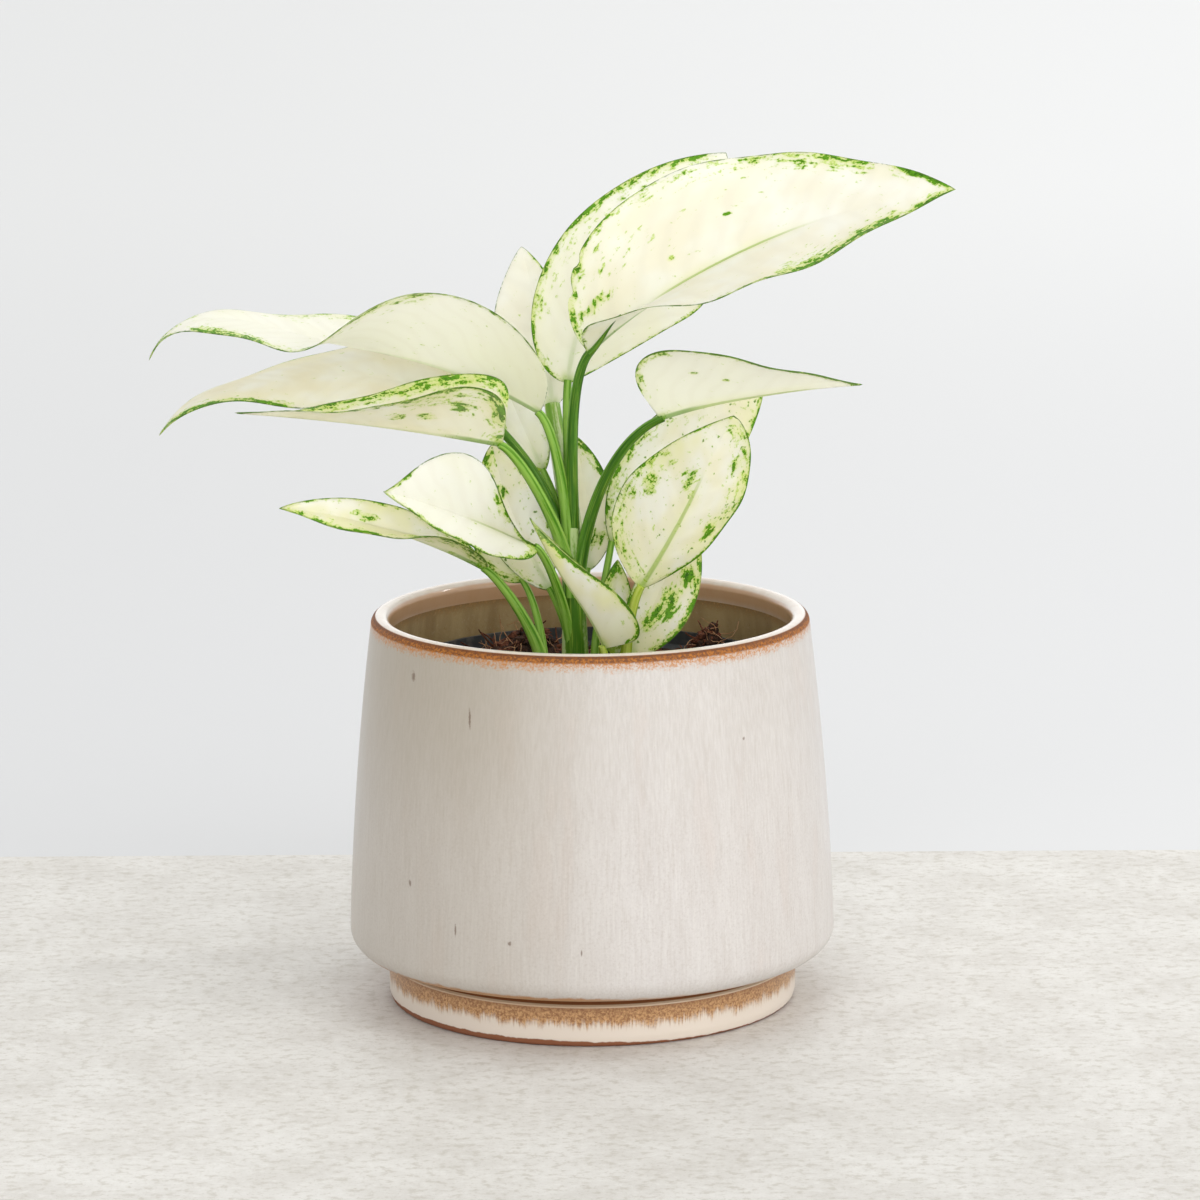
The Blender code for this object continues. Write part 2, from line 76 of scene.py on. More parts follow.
camera_data = bpy.data.cameras.new("camera")
camera_data.lens = LENS
camera_data.sensor_width = SENSOR
camera_data.sensor_fit = "HORIZONTAL"
camera = bpy.data.objects.new("camera", camera_data)
bpy.context.scene.collection.objects.link(camera)
camera.matrix_world = camera_matrix()
bpy.context.scene.camera = camera
print("camera", round(EYE.length, 3), "m from the pot's foot")

# %% [markdown]
# ## A small language for finishes
# A finish is a tree of shader nodes. Linking nodes by hand takes many lines, so one class wraps an output
# socket, and Python's own operators on it add Math nodes: `1 - mask * 0.5` reads as it is meant. A second
# class is the finish itself. Its `add` takes a node's type, its settings, and its inputs' values or links.
# Colours are mixed by Mix nodes, because a Math node would turn them grey, and `layer` lays one colour over
# the `tone` so far. `paint` turns the colours that a painter reads off a chart, 0 to 255, into the linear
# ones that the nodes use.

# %% Shader helpers
def paint(red, green, blue):
    """A colour from a 0-255 chart as linear RGBA."""
    def linear(c):
        c /= 255
        return c / 12.92 if c <= 0.04045 else ((c + 0.055) / 1.055) ** 2.4
    return (linear(red), linear(green), linear(blue), 1.0)


class Wire:
    """An output socket that Python's operators extend with Math nodes."""

    def __init__(self, finish, socket):
        self.finish = finish
        self.socket = socket

    def maths(self, operation, *values):
        return self.finish.add("ShaderNodeMath", dict(operation=operation), dict(enumerate(values)))

    def __add__(self, other):
        return self.maths("ADD", self, other)

    def __sub__(self, other):
        return self.maths("SUBTRACT", self, other)

    def __rsub__(self, other):
        return self.maths("SUBTRACT", other, self)

    def __mul__(self, other):
        return self.maths("MULTIPLY", self, other)

    def __truediv__(self, other):
        return self.maths("DIVIDE", self, other)

    def __pow__(self, other):
        return self.maths("POWER", self, other)

    def __abs__(self):
        return self.maths("ABSOLUTE", self)

    __radd__ = __add__
    __rmul__ = __mul__

    def sine(self):
        return self.maths("SINE", self)

    def larger(self, other):
        return self.maths("MAXIMUM", self, other)

    def step(self, low, high):
        """0 up to low and 1 from high on, softly. With low over high it falls instead."""
        inputs = {"Value": self, "From Min": low, "From Max": high}
        return self.finish.add("ShaderNodeMapRange", dict(interpolation_type="SMOOTHSTEP"), inputs)


class Finish:
    """One material. shine holds the values of the shader's own sockets that are the same all over."""

    def __init__(self, name, **shine):
        self.material = bpy.data.materials.new(name)
        self.start(self.material, "Principled BSDF")
        for socket, value in shine.items():
            self.shader.inputs[socket.replace("_", " ")].default_value = value

    def start(self, owner, shader):
        owner.use_nodes = True
        self.tree = owner.node_tree
        self.shader = self.tree.nodes[shader]

    def feed(self, socket, value):
        if isinstance(value, Wire):
            self.tree.links.new(value.socket, socket)
        else:
            socket.default_value = value

    def add(self, kind, settings=None, inputs=None, output=0):
        node = self.tree.nodes.new(kind)
        for key, value in (settings or {}).items():
            setattr(node, key, value)
        for key, value in (inputs or {}).items():
            self.feed(node.inputs[key], value)
        return Wire(self, node.outputs[output])

    def split(self, vector):
        """The three numbers of a vector."""
        node = self.add("ShaderNodeSeparateXYZ", inputs={0: vector}).socket.node
        return [Wire(self, socket) for socket in node.outputs]

    def joined(self, x, y, z):
        return self.add("ShaderNodeCombineXYZ", inputs={0: x, 1: y, 2: z})

    def place(self):
        """The point on the surface, in mm of the model's own frame."""
        metres = self.add("ShaderNodeTexCoord", output="Object")
        return self.add("ShaderNodeVectorMath", dict(operation="SCALE"), {0: metres, "Scale": 1 / MM})

    def grain(self, at, size=1.0, detail=2.0, rough=0.5):
        """Cloudy noise from 0 to 1 with lumps of the given size."""
        inputs = {"Vector": at, "Scale": 1 / size, "Detail": detail, "Roughness": rough}
        return self.add("ShaderNodeTexNoise", inputs=inputs)

    def mix(self, factor, first, second):
        return self.add("ShaderNodeMix", dict(data_type="RGBA"), {0: factor, 6: first, 7: second}, output=2)

    def drawn(self, width, height, detail, rough):
        """Noise whose lumps are so many mm wide and so many high."""
        x, y, z = self.split(self.place())
        return self.grain(self.joined(x / width, y / width, z / height), 1, detail, rough)

    def layer(self, mask, colour):
        """Lays a colour over the tone so far, where the mask shows it."""
        self.tone = self.mix(mask, self.tone, colour)

    def raise_by(self, height, depth, strength=1.0):
        """Bumps whose height, from 0 to 1, stands for depth in metres."""
        inputs = {"Strength": strength, "Distance": depth, "Height": height}
        self.feed(self.shader.inputs["Normal"], self.add("ShaderNodeBump", inputs=inputs))

    def colour(self, value):
        self.feed(self.shader.inputs["Base Color"], value)

    def roughness(self, value):
        self.feed(self.shader.inputs["Roughness"], value)

    def let_light_through(self, share, tint):
        """Blends in a sheet that glows with the light that falls on its other side."""
        glow = self.add("ShaderNodeBsdfTranslucent", inputs={"Color": tint})
        solid = Wire(self, self.shader.outputs["BSDF"])
        blend = self.add("ShaderNodeMixShader", inputs={0: share, 1: solid, 2: glow})
        self.feed(self.tree.nodes["Material Output"].inputs["Surface"], blend)


class Sky(Finish):
    """The light all around, with the same ways to add nodes."""

    def __init__(self, name):
        self.world = bpy.data.worlds.new(name)
        self.start(self.world, "Background")


print("shader helpers ready")

# %% [markdown]
# ## Light and table
# The picture is a bright studio shot: a pale stone table whose back edge crosses behind the pot, a paler
# background, and soft light, stronger from the right, that leaves a faint shadow on the left. Large soft
# boxes would light it too, but broad sun lamps have no fall-off, so table and background stay evenly
# bright: one from the right, a strong one from the front that fills the shadows, and a weak one from
# behind that makes the leaves glow. Two small boxes give the glaze something to mirror. The background
# is a second pale sheet that carries on behind the table, because a wall would block the view from behind.

# %% Light, table and background
TABLE_BACK = 0.19
TABLE_REACH = 2.5
GROUND_REACH = 9.0
GROUND_DROP = 0.0005
FAN_START = 1614
SKY_LEFT = 0.68
SKY_RIGHT = 0.94
AIM_HEIGHT = {"SUN": 0.10, "AREA": 0.12}
LAMPS = {
    "sun": dict(kind="SUN", place=(1.4, -1.1, 1.1), power=0.28, spread=60, colour=(1.0, 0.985, 0.96)),
    "window": dict(kind="AREA", place=(1.05, 0.30, 0.85), power=1.3, size=(0.09, 0.2)),
    "front_fill": dict(kind="SUN", place=(0.25, -1.0, 0.04), power=2.4, spread=110),
    "top_softbox": dict(kind="AREA", place=(0.10, -0.15, 1.2), power=0.7, size=(0.2, 0.08)),
    "back_light": dict(kind="SUN", place=(-0.35, 1.0, 0.6), power=0.7, spread=70),
}


def lamp(name, kind, place, power, colour=(1.0, 1.0, 1.0), size=None, spread=None):
    """A lamp at a place that shines on the plant. A sun has a spread in degrees, a box a size."""
    data = bpy.data.lights.new(name, kind)
    data.energy = power
    data.color = colour
    if kind == "AREA":
        data.shape = "RECTANGLE"
        data.size, data.size_y = size
    else:
        data.angle = math.radians(spread)
    lamp_object = bpy.data.objects.new(name, data)
    bpy.context.scene.collection.objects.link(lamp_object)
    lamp_object.location = place
    aim = Vector((0, 0, AIM_HEIGHT[kind])) - Vector(place)
    lamp_object.rotation_euler = aim.to_track_quat("-Z", "Y").to_euler()


def flat_sheet(name, low, high, height):
    corners = [(low[0], low[1]), (high[0], low[1]), (high[0], high[1]), (low[0], high[1])]
    mesh = bpy.data.meshes.new(name)
    mesh.from_pydata([(x, y, height) for x, y in corners], [], [(0, 1, 2, 3)])
    sheet = bpy.data.objects.new(name, mesh)
    bpy.context.scene.collection.objects.link(sheet)
    return sheet


STONE = (paint(210, 206, 199), paint(221, 218, 212))
STONE_GREY = paint(190, 184, 172)
STONE_PALE = paint(230, 228, 223)
STONE_GRIT = paint(170, 162, 147)


def table_finish():
    """Pale honed stone: grey grain drawn out sideways, soft clouds, fine grit and a dull shine."""
    stone = Finish("pale_table", Roughness=0.6, Specular_IOR_Level=0.3)
    at = stone.place()
    x, y, _ = stone.split(at)
    clouds = stone.grain(at, 30, 3, 0.6)
    drawn = stone.grain(stone.joined(x / 4.2, y / 3.6, 0.0), 1, 5, 0.66)
    grit = stone.grain(at, 1.1, 2, 0.6)
    stone.tone = stone.mix(clouds.step(0.3, 0.7), *STONE)
    stone.layer(drawn.step(0.50, 0.64) * 0.6, STONE_GREY)
    stone.layer(drawn.step(0.48, 0.32) * 0.45, STONE_PALE)
    stone.layer(grit.step(0.58, 0.72) * 0.35, STONE_GRIT)
    stone.colour(stone.tone)
    stone.raise_by(grit, 0.0002, 0.3)
    return stone.material


def background_finish():
    """Smooth pale grey with painted light: a little lighter far away and, as a fan from the viewer's side,
    to the right.
    """
    grey = Finish("pale_background", Roughness=1.0, Specular_IOR_Level=0.0)
    x, y, _ = grey.split(grey.place())
    spread = x / (y + FAN_START)
    # Painted light: the grey brightens to the right, where the light comes from, and far away.
    near = grey.mix(spread.step(-0.14, 0.14), paint(216, 216, 216), paint(221, 221, 221))
    far = grey.mix(spread.step(-0.14, 0.14), paint(225, 225, 224), paint(237, 237, 236))
    grey.colour(grey.mix(y.step(200, 2600), near, far))
    return grey.material


def studio_sky():
    """Pale light from all around, stronger on the right."""
    sky = Sky("studio")
    side, _, _ = sky.split(sky.add("ShaderNodeTexCoord", output="Generated"))
    sky.shader.inputs["Color"].default_value = (0.98, 0.99, 1.0, 1.0)
    sky.feed(sky.shader.inputs["Strength"], side.step(-0.8, 0.9) * (SKY_RIGHT - SKY_LEFT) + SKY_LEFT)
    return sky.world


table = flat_sheet("table", (-TABLE_REACH, -TABLE_REACH), (TABLE_REACH, TABLE_BACK), 0.0)
table.data.materials.append(table_finish())
ground = flat_sheet("background", (-GROUND_REACH, TABLE_BACK), (GROUND_REACH, GROUND_REACH), -GROUND_DROP)
ground.data.materials.append(background_finish())

for name, values in LAMPS.items():
    lamp(name, **values)
bpy.context.scene.world = studio_sky()
bpy.context.scene.view_settings.view_transform = "Standard"
print("table edge", TABLE_BACK, "m behind the pot's middle,", len(LAMPS), "lamps")

# %% [markdown]
# ## Skins made of rings
# A leaf, a stalk, a thrown pot and a bed of soil look unlike each other, but each can be laid out as rings
# of points, one after another, with every ring joined to the next; a ring of one point closes an end. The
# Skin and Screw modifiers each do a part of this. One function does it for all, and keeps the points in a
# known order, so that measures for the finish can be stored with them.

# %% Mesh helpers
def ring_faces(counts, first=0):
    """Faces between rings that follow each other in a list of points. counts has each ring's points."""
    faces = []
    for low, high in zip(counts, counts[1:]):
        around = max(low, high)
        upper = first + low
        for j in range(around):
            k = (j + 1) % around
            corners = (first + j % low, first + k % low, upper + k % high, upper + j % high)
            faces.append(tuple(dict.fromkeys(corners)))
        first = upper
    return faces


def mesh_of(name, points, faces, slots=None, sharp=None, outward=False):
    """A smooth mesh of points in mm. Faces that meet at more than sharp degrees keep their edge."""
    mesh = bpy.data.meshes.new(name)
    mesh.from_pydata((np.array(points) * MM).tolist(), [], faces)
    if slots:
        mesh.polygons.foreach_set("material_index", slots)
    if outward:
        bm = bmesh.new()
        bm.from_mesh(mesh)
        bmesh.ops.recalc_face_normals(bm, faces=bm.faces)
        bm.to_mesh(mesh)
        bm.free()
    mesh.shade_smooth()
    if sharp:
        mesh.set_sharp_from_angle(angle=math.radians(sharp))
    return mesh


def note(mesh, name, values):
    """Stores three numbers for each point of a mesh, for its finish to read."""
    attribute = mesh.attributes.new(name, "FLOAT_VECTOR", "POINT")
    attribute.data.foreach_set("vector", np.asarray(values, np.float32).reshape(-1))


def put(name, mesh, *finishes):
    """An object for a mesh, with its finishes."""
    obj = bpy.data.objects.new(name, mesh)
    bpy.context.scene.collection.objects.link(obj)
    for finish in finishes:
        mesh.materials.append(finish)
    return obj


print("a tube of 2 rings of 3 points has", len(ring_faces([3, 3])), "faces round it")

# %% [markdown]
# ## The form of a leaf
# Each leaf is two halves that meet at the midrib. The midrib is a line that bends by a few angles along
# its way; each half has an outline with one widest place, and leans out of the leaf's plane by angles of
# its own, so a leaf can be open, cupped or folded. Sculpting eighteen leaves by hand would be slow and
# hard to change, so a formula draws each from a dozen plain values, the same ones as the solid's.
#
# Lengths are in mm and angles in degrees. `base` is where the midrib starts, `slope` is its direction seen
# from the front, anticlockwise from the right, and `toward` its tilt to the viewer. `width` is a half's
# greatest width, `peak` how far along that is, and `lean` how far the half turns towards the viewer. A
# half that names no peak or lean has the usual ones: widest at 0.42 of its length, and flat.

# %% Leaf values
BLADES = {
    "leaf_top": dict(
        base=(0, -5, 216), length=133, slope=(44, 33, 25, 17, 6), toward=(8,),
        left=dict(width=34, peak=0.37, lean=(-15, -15, -28, -42, -45), sweep=-0.12),
        right=dict(width=31, peak=0.42, lean=(140, 98, 76, 64, 55), sweep=-0.4, power=2.1),
    ),
    "leaf_top_back": dict(
        base=(-7, 8, 204), length=97, slope=(84, 68, 52, 41, 28), toward=(-15,),
        left=dict(width=18.5, peak=0.35, lean=(-10,)),
        right=dict(width=33, peak=0.52, lean=(10,)),
    ),
    "leaf_spear": dict(
        base=(-12, 14, 195), length=59, slope=(96, 102, 106), toward=(-30,),
        left=dict(width=16),
        right=dict(width=10),
    ),
    "leaf_upper_left": dict(
        base=(-16, -3, 196), length=139,
        slope=(147, 155, 165, 170, 165, 188, 250), toward=(10, 6, -4, -6, 0, 10),
        left=dict(width=34, peak=0.30, lean=(140, 142, 136, 96, 82, 80, 88), sweep=0.2),
        right=dict(width=28, peak=0.36, lean=(-62, -68, -76, -82, -80), power=2.8),
    ),
    "leaf_left_front": dict(
        base=(-28, -18, 188), length=88, slope=(167, 171, 175), toward=(10,),
        left=dict(width=23, peak=0.16, lean=(150, 140, 120, 115, 120), sweep=0.15),
        right=dict(width=22, peak=0.10, lean=(-20, -27, -50, -70, -80), sweep=0.0),
    ),
    "leaf_left_back": dict(
        base=(-40, 2, 199), length=108, slope=(157, 172, 184, 193, 238), toward=(-10, -6, 6, 10, 10),
        left=dict(width=18, peak=0.38, lean=(60, 60, 64, 75, 80)),
        right=dict(width=21, peak=0.34, lean=(-45, -60, -80, -88, -90)),
    ),
    "leaf_low_left": dict(
        base=(-34, -12, 146), length=74, slope=(147, 154, 160, 165, 172), toward=(20, 16, 16, 20),
        left=dict(width=8.5, peak=0.32, lean=(140, 125, 85, 50, 40)),
        right=dict(width=8.5, peak=0.42, lean=(-40, -40, -20, -10)),
    ),
    "leaf_front_left": dict(
        base=(-17, -14, 153.5), length=60, slope=(150, 154, 161), toward=(25,),
        left=dict(width=10, peak=0.40, lean=(45,), sweep=-0.3),
        right=dict(width=20, peak=0.60, lean=(60, 40, 10, 0, 0), sweep=0.25, power=3.5),
    ),
    "leaf_inner_left": dict(
        base=(-13, -2, 137), length=53, slope=(120, 111, 101), toward=(3,),
        left=dict(width=10.5, peak=0.48),
        right=dict(width=10.5, peak=0.50),
    ),
    "leaf_upper_right": dict(
        base=(23, -10, 195), length=68, slope=(21, 13, 9, 4), toward=(12,),
        left=dict(width=15, peak=0.22, lean=(-70, -75, -80, -80), sweep=-0.15),
        right=dict(width=25, peak=0.20, lean=(160, 152, 140, 133, 134), sweep=-0.18),
    ),
    "leaf_right_back": dict(
        base=(7, 4, 151), length=75, slope=(80, 56, 38, 31, 26), toward=(-13,),
        left=dict(width=12, peak=0.58, lean=(-10,)),
        right=dict(width=20, peak=0.45, lean=(10,)),
    ),
    "leaf_front_right": dict(
        base=(16, -26, 142), length=69, slope=(58, 63, 66, 62), toward=(15,),
        left=dict(width=23, peak=0.32, lean=(-25,)),
        right=dict(width=17, peak=0.55, lean=(-25,)),
    ),
    "leaf_low_right": dict(
        base=(12, -16, 118), length=51, slope=(60, 66, 68), toward=(-7,),
        left=dict(width=8.5),
        right=dict(width=12.5),
    ),
    "leaf_young_front": dict(
        base=(4, -30, 123), length=51, slope=(108, 122, 118, 114), toward=(8,),
        left=dict(width=10, peak=0.25, lean=(-150,)),
        right=dict(width=15, peak=0.12, lean=(20,), sweep=0.0),
    ),
    "leaf_young_back": dict(
        base=(8, -8, 116), length=32, slope=(90, 86), toward=(-4,),
        left=dict(width=6),
        right=dict(width=6),
    ),
    "leaf_small_left": dict(
        base=(-22, 3, 139), length=27, slope=(135,), toward=(-20,),
        left=dict(width=6),
        right=dict(width=5),
    ),
    "leaf_inner_right": dict(
        base=(-1, 10, 141), length=46, slope=(81, 97, 106), toward=(-15,),
        left=dict(width=6.5, peak=0.40),
        right=dict(width=8.5, peak=0.45),
    ),
    "leaf_inner_upper": dict(
        base=(-15, 6, 175), length=38, slope=(116, 112), toward=(-13,),
        left=dict(width=7),
        right=dict(width=7),
    ),
}
print(len(BLADES), "leaves, the longest", max(leaf["length"] for leaf in BLADES.values()), "mm")

# %% [markdown]
# Each half is a fan of straight lines that leave the midrib, so the formula needs the midrib's place and
# heading, the half's width and its lean. A spline surface would do as well, but it would hide these few
# values. The functions work on whole arrays of places at once: `u` runs from the stalk, 0, to the tip, 1.

# %% Leaf formula
USUAL_PEAK = 0.42
USUAL_LEAN = (0,)
OUTLINE_POWER = 1.5
MARGIN_SWEEP = 0.1
ROW_SPACING = 1.15
MIDRIB_STEPS = 200


def keyed(keys, u):
    """Smooth value, at u in 0..1, of values that are evenly spaced from 0 to 1."""
    if len(keys) == 1:
        return np.full(u.shape, float(keys[0]))
    k = np.array([2 * keys[0] - keys[1], *keys, 2 * keys[-1] - keys[-2]], float)
    x = np.clip(u, 0.0, 1.0) * (len(keys) - 1)
    i = np.minimum(x.astype(int), len(keys) - 2)
    t = x - i
    a, b, c, d = k[i], k[i + 1], k[i + 2], k[i + 3]
    return 0.5 * (2 * b + (c - a) * t + (2 * a - 5 * b + 4 * c - d) * t**2 + (3 * b - a - 3 * c + d) * t**3)


def heading(leaf, u):
    """Direction of the midrib at u."""
    slope = np.radians(keyed(leaf["slope"], u))
    toward = np.radians(keyed(leaf["toward"], u))
    return np.stack([np.cos(slope) * np.cos(toward), -np.sin(toward), np.sin(slope) * np.cos(toward)], -1)


def midrib(leaf, u):
    """Points of the midrib at u, in mm."""
    fine = np.linspace(0.0, 1.0, MIDRIB_STEPS + 1)
    steps = heading(leaf, (fine[1:] + fine[:-1]) / 2) * leaf["length"] / MIDRIB_STEPS
    route = np.vstack([np.zeros(3), np.cumsum(steps, axis=0)]) + np.array(leaf["base"], float)
    return np.stack([np.interp(u, fine, route[:, k]) for k in range(3)], -1)


def half_width(half, u):
    """A half's width at u. A higher power draws its two ends in and keeps its greatest width."""
    peak = half.get("peak", USUAL_PEAK)
    power = half.get("power", OUTLINE_POWER)
    rising = (u / peak) ** (power * peak)
    falling = ((1 - u) / (1 - peak)) ** (power * (1 - peak))
    return half["width"] * rising * falling


def half_blade(leaf, side, u, share):
    """Points of one half, in mm: rows along the leaf, columns at the given shares of its width."""
    half = leaf[side]
    sign = 1.0 if side == "left" else -1.0
    along = heading(leaf, u)
    across = np.stack([-along[:, 2], np.zeros(len(u)), along[:, 0]], -1)
    across /= np.linalg.norm(across, axis=1)[:, None]
    front = np.cross(along, across)
    front *= np.where(front[:, 1:2] > 0, -1.0, 1.0)
    lean = np.radians(keyed(half.get("lean", USUAL_LEAN), u))[:, None]
    sweep = half.get("sweep", MARGIN_SWEEP) * (1 - u)[:, None]
    outward = sign * np.cos(lean) * across + np.sin(lean) * front + sweep * along
    reach = half_width(half, u)[:, None] * share
    return midrib(leaf, u)[:, None, :] + reach[:, :, None] * outward[:, None, :]


print("midrib of the top leaf ends at", midrib(BLADES["leaf_top"], np.ones(1))[0].round(1), "mm")

# %% [markdown]
# ## From formula to living leaf
# A real leaf isn't a cut-out. Its margin waves a little, soft folds follow the side veins, the blade is
# thinnest at the margin, and the midrib is a groove above and a round ridge below. These are a few tenths
# of a millimetre to a millimetre or two, so they are pushed into the points here, not left to a bump. The
# mesh has more columns near the midrib, where the form is finest, and carries two sets of numbers for the
# finish: how far along and across each point is, and its distances in mm.

# %% Leaf meshes
LEAF_ROWS = 92
LEAF_COLUMNS = 14
COLUMN_SPACING = 1.45
RIB_THICKNESS = 0.50
MARGIN_THICKNESS = 0.30
RIDGE_WIDTH = 1.1
VEIN_SLANT = 0.9
OUTLINE_POINTS = 241
WAVE_SHIFT = 0.31
SIDE_SHIFT = 0.23


def notched(notches, u):
    """What the notches in a margin leave of a half's width at u."""
    kept = np.ones(len(u))
    for at, length, depth in notches:
        kept -= depth * np.exp(-(((u - at) / length) ** 2))
    return kept[:, None]


def margin_distance(leaf, mm_along, mm_across):
    """Distance in mm from each point to the nearest one of the leaf's outline, laid out flat."""
    u = np.linspace(0.0, 1.0, OUTLINE_POINTS)
    upper = np.stack([u * leaf["length"], half_width(leaf["left"], u)], -1)
    lower = np.stack([u * leaf["length"], -half_width(leaf["right"], u)], -1)
    flat = np.stack([mm_along, mm_across], -1)[:, :, None, :]
    return np.linalg.norm(flat - np.vstack([upper, lower]), axis=-1).min(axis=-1)


def leaf_sheet(leaf, look):
    """Middle surface of a leaf from its left margin to its right one, its places and measures in mm."""
    u = np.linspace(0.0, 1.0, LEAF_ROWS + 1) ** ROW_SPACING
    share = np.linspace(0.0, 1.0, LEAF_COLUMNS + 1) ** COLUMN_SPACING
    left = half_blade(leaf, "left", u, share * notched(look["notches"], u))[:, ::-1]
    right = half_blade(leaf, "right", u, share)[:, 1:]
    points = np.concatenate([left, right], axis=1)
    along, across = np.meshgrid(u, np.concatenate([share[::-1], -share[1:]]), indexing="ij")
    widths = [half_width(leaf[side], u)[:, None] for side in ("left", "right")]
    mm_along = along * leaf["length"]
    mm_across = np.where(across > 0, *widths) * across
    mm_margin = margin_distance(leaf, mm_along, mm_across)
    return points, along, across, np.stack([mm_along, mm_across, mm_margin], -1)


def upper_normals(points):
    """Directions straight out of the upper side. The rows at the two ends are too narrow to have any."""
    along = np.gradient(points, axis=0)
    leftward = -np.gradient(points, axis=1)
    normals = np.cross(along, leftward)
    length = np.linalg.norm(normals, axis=2)
    normals /= np.maximum(length, 1e-9)[:, :, None]
    normals[0] = normals[2]
    normals[1] = normals[2]
    normals[-1] = normals[-3]
    normals[-2] = normals[-3]
    return normals


def shaped_leaf(leaf, look):
    """Upper and lower surface of a leaf with its waves, folds, groove and ridge."""
    points, u, signed, measure = leaf_sheet(leaf, look)
    across, side = np.abs(signed), np.sign(signed)
    mm_along, mm_across = measure[:, :, 0], measure[:, :, 1]
    calm = np.sin(np.pi * u) ** 0.7
    turns = look["waves"] * u + WAVE_SHIFT * look["seed"] + SIDE_SHIFT * side
    wave = look["wave"] * across**2 * np.sin(2 * np.pi * turns)
    vein = mm_along - VEIN_SLANT * np.abs(mm_across)
    folds = look["fold"] * np.sin(np.pi * across) * np.sin(2 * np.pi * vein / look["fold_spacing"])
    cup = look["cup"] * 4 * across * (1 - across)
    points = points + ((wave + folds + cup) * calm)[:, :, None] * upper_normals(points)
    normals = upper_normals(points)
    half = (RIB_THICKNESS + (MARGIN_THICKNESS - RIB_THICKNESS) * across) / 2
    ridge = np.exp(-((mm_across / RIDGE_WIDTH) ** 2)) * (1 - u) ** 0.6
    upper = points + (half - look["groove"] * ridge)[:, :, None] * normals
    lower = points - (half + look["ridge"] * ridge)[:, :, None] * normals
    return upper, lower, u, signed, measure


def round_leaf(over, under, start, tip):
    """Rings of values: along the upper side and back along the lower one, with one value at each end."""
    rows = np.concatenate([over, under[:, ::-1]], axis=1)[1:-1]
    return np.vstack([[start], rows.reshape(-1, 3), [tip]])


def leaf_mesh(name, leaf, look):
    upper, lower, u, across, measure = shaped_leaf(leaf, look)
    rows, columns = u.shape
    start, tip = ((upper[row, 0] + lower[row, 0]) / 2 for row in (0, -1))
    faces = ring_faces([1] + [2 * columns] * (rows - 2) + [1])
    mesh = mesh_of(name, round_leaf(upper, lower, start, tip), faces, sharp=65, outward=True)
    above, below = (np.stack([u, across, np.full(u.shape, face)], -1) for face in (1.0, -1.0))
    note(mesh, "place", round_leaf(above, below, (0, 0, 0), (1, 0, 0)))
    note(mesh, "measure", round_leaf(measure, measure, (0, 0, 0), (leaf["length"], 0, 0)))
    return mesh


print("each leaf has about", 4 * LEAF_ROWS * 2 * LEAF_COLUMNS, "triangles")

# %% [markdown]
# ## The leaf's colours
# The blade is ivory, nearly white where the light meets it. Every margin has a hair-thin dark green line.
# Inside it runs a broken band of green flecks with lime halos, wide on some leaves and nearly absent on
# others; they lie along the margin. A few leaves have larger blotches, and the midrib is lime near the
# stalk. The flecks could be painted by hand, but noise that is stretched along the margin and cut off at
# a level gives the same broken dashes on any leaf. How much passes the level falls with the distance from
# the margin in mm, which the mesh carries. Light that falls on the back shines through the pale parts.

# %% Leaf finish
IVORY = paint(252, 251, 245)
WARM_IVORY = paint(244, 234, 212)
LIME_TINT = paint(240, 240, 172)
LIME_WASH = paint(218, 230, 118)
LIME = paint(176, 206, 48)
LEAF_GREEN = paint(90, 146, 22)
DEEP_GREEN = paint(48, 92, 14)
RIM_GREEN = paint(78, 112, 32)
# FOLD_SHADE_CREAM is painted shade for the soft folds of the leaves.
FOLD_SHADE_CREAM = paint(226, 219, 208)
RIB_LIME = paint(166, 194, 66)
UNDERSIDE_CREAM = paint(240, 232, 196)
KEEL_GREEN = paint(112, 160, 40)
SHINE_THROUGH = paint(253, 253, 244)
SHINE_SHARE = 0.5
BAND_END = 0.03
SEED_STEP = 7.3
DASH_LENGTH = 4.5
DASH_WIDTH = 1.3
CRUMB_SIZE = 1.1
FRECKLE_SIZE = 1.5
FLECK_EDGE = (0.80, 0.85)
HALO_EDGE = (0.53, 0.76)

USUAL_LOOK = dict(
    wave=0.7, waves=3, fold=0.12, fold_spacing=8.0, cup=0.6, groove=0.15, ridge=0.55, notches=(),
    left=(), right=(), freckles=0.0, patches=(), tint=0.16, base_tint=0.12, warm=0.2,
    rib=(0.0, 0.2, 0.3), rim=0.34,
)


def band_amount(look, u, on_left, mm_margin):
    """How green the margin bands make each place, 0 to about 0.5."""
    total = on_left * 0.0
    for half, bands in ((on_left, look["left"]), (1 - on_left, look["right"])):
        for start, end, width, amount in bands:
            along = u.step(start - BAND_END, start + BAND_END) * u.step(end + BAND_END, end - BAND_END)
            near = (mm_margin / width).step(1.1, 0.15) * 0.8 + (mm_margin / width).step(2.4, 0.4) * 0.2
            total = total.larger(half * along * near * amount)
    return total


def patch_amount(look, mm_along, mm_across, total):
    """The same for spots away from the margin."""
    for along_at, across_at, along_size, across_size, amount in look["patches"]:
        away_1 = (mm_along - along_at) / along_size
        away_2 = (mm_across - across_at) / across_size
        away = (away_1 * away_1 + away_2 * away_2) ** 0.5
        total = total.larger(away.step(1.7, 0.1) * amount)
    return total


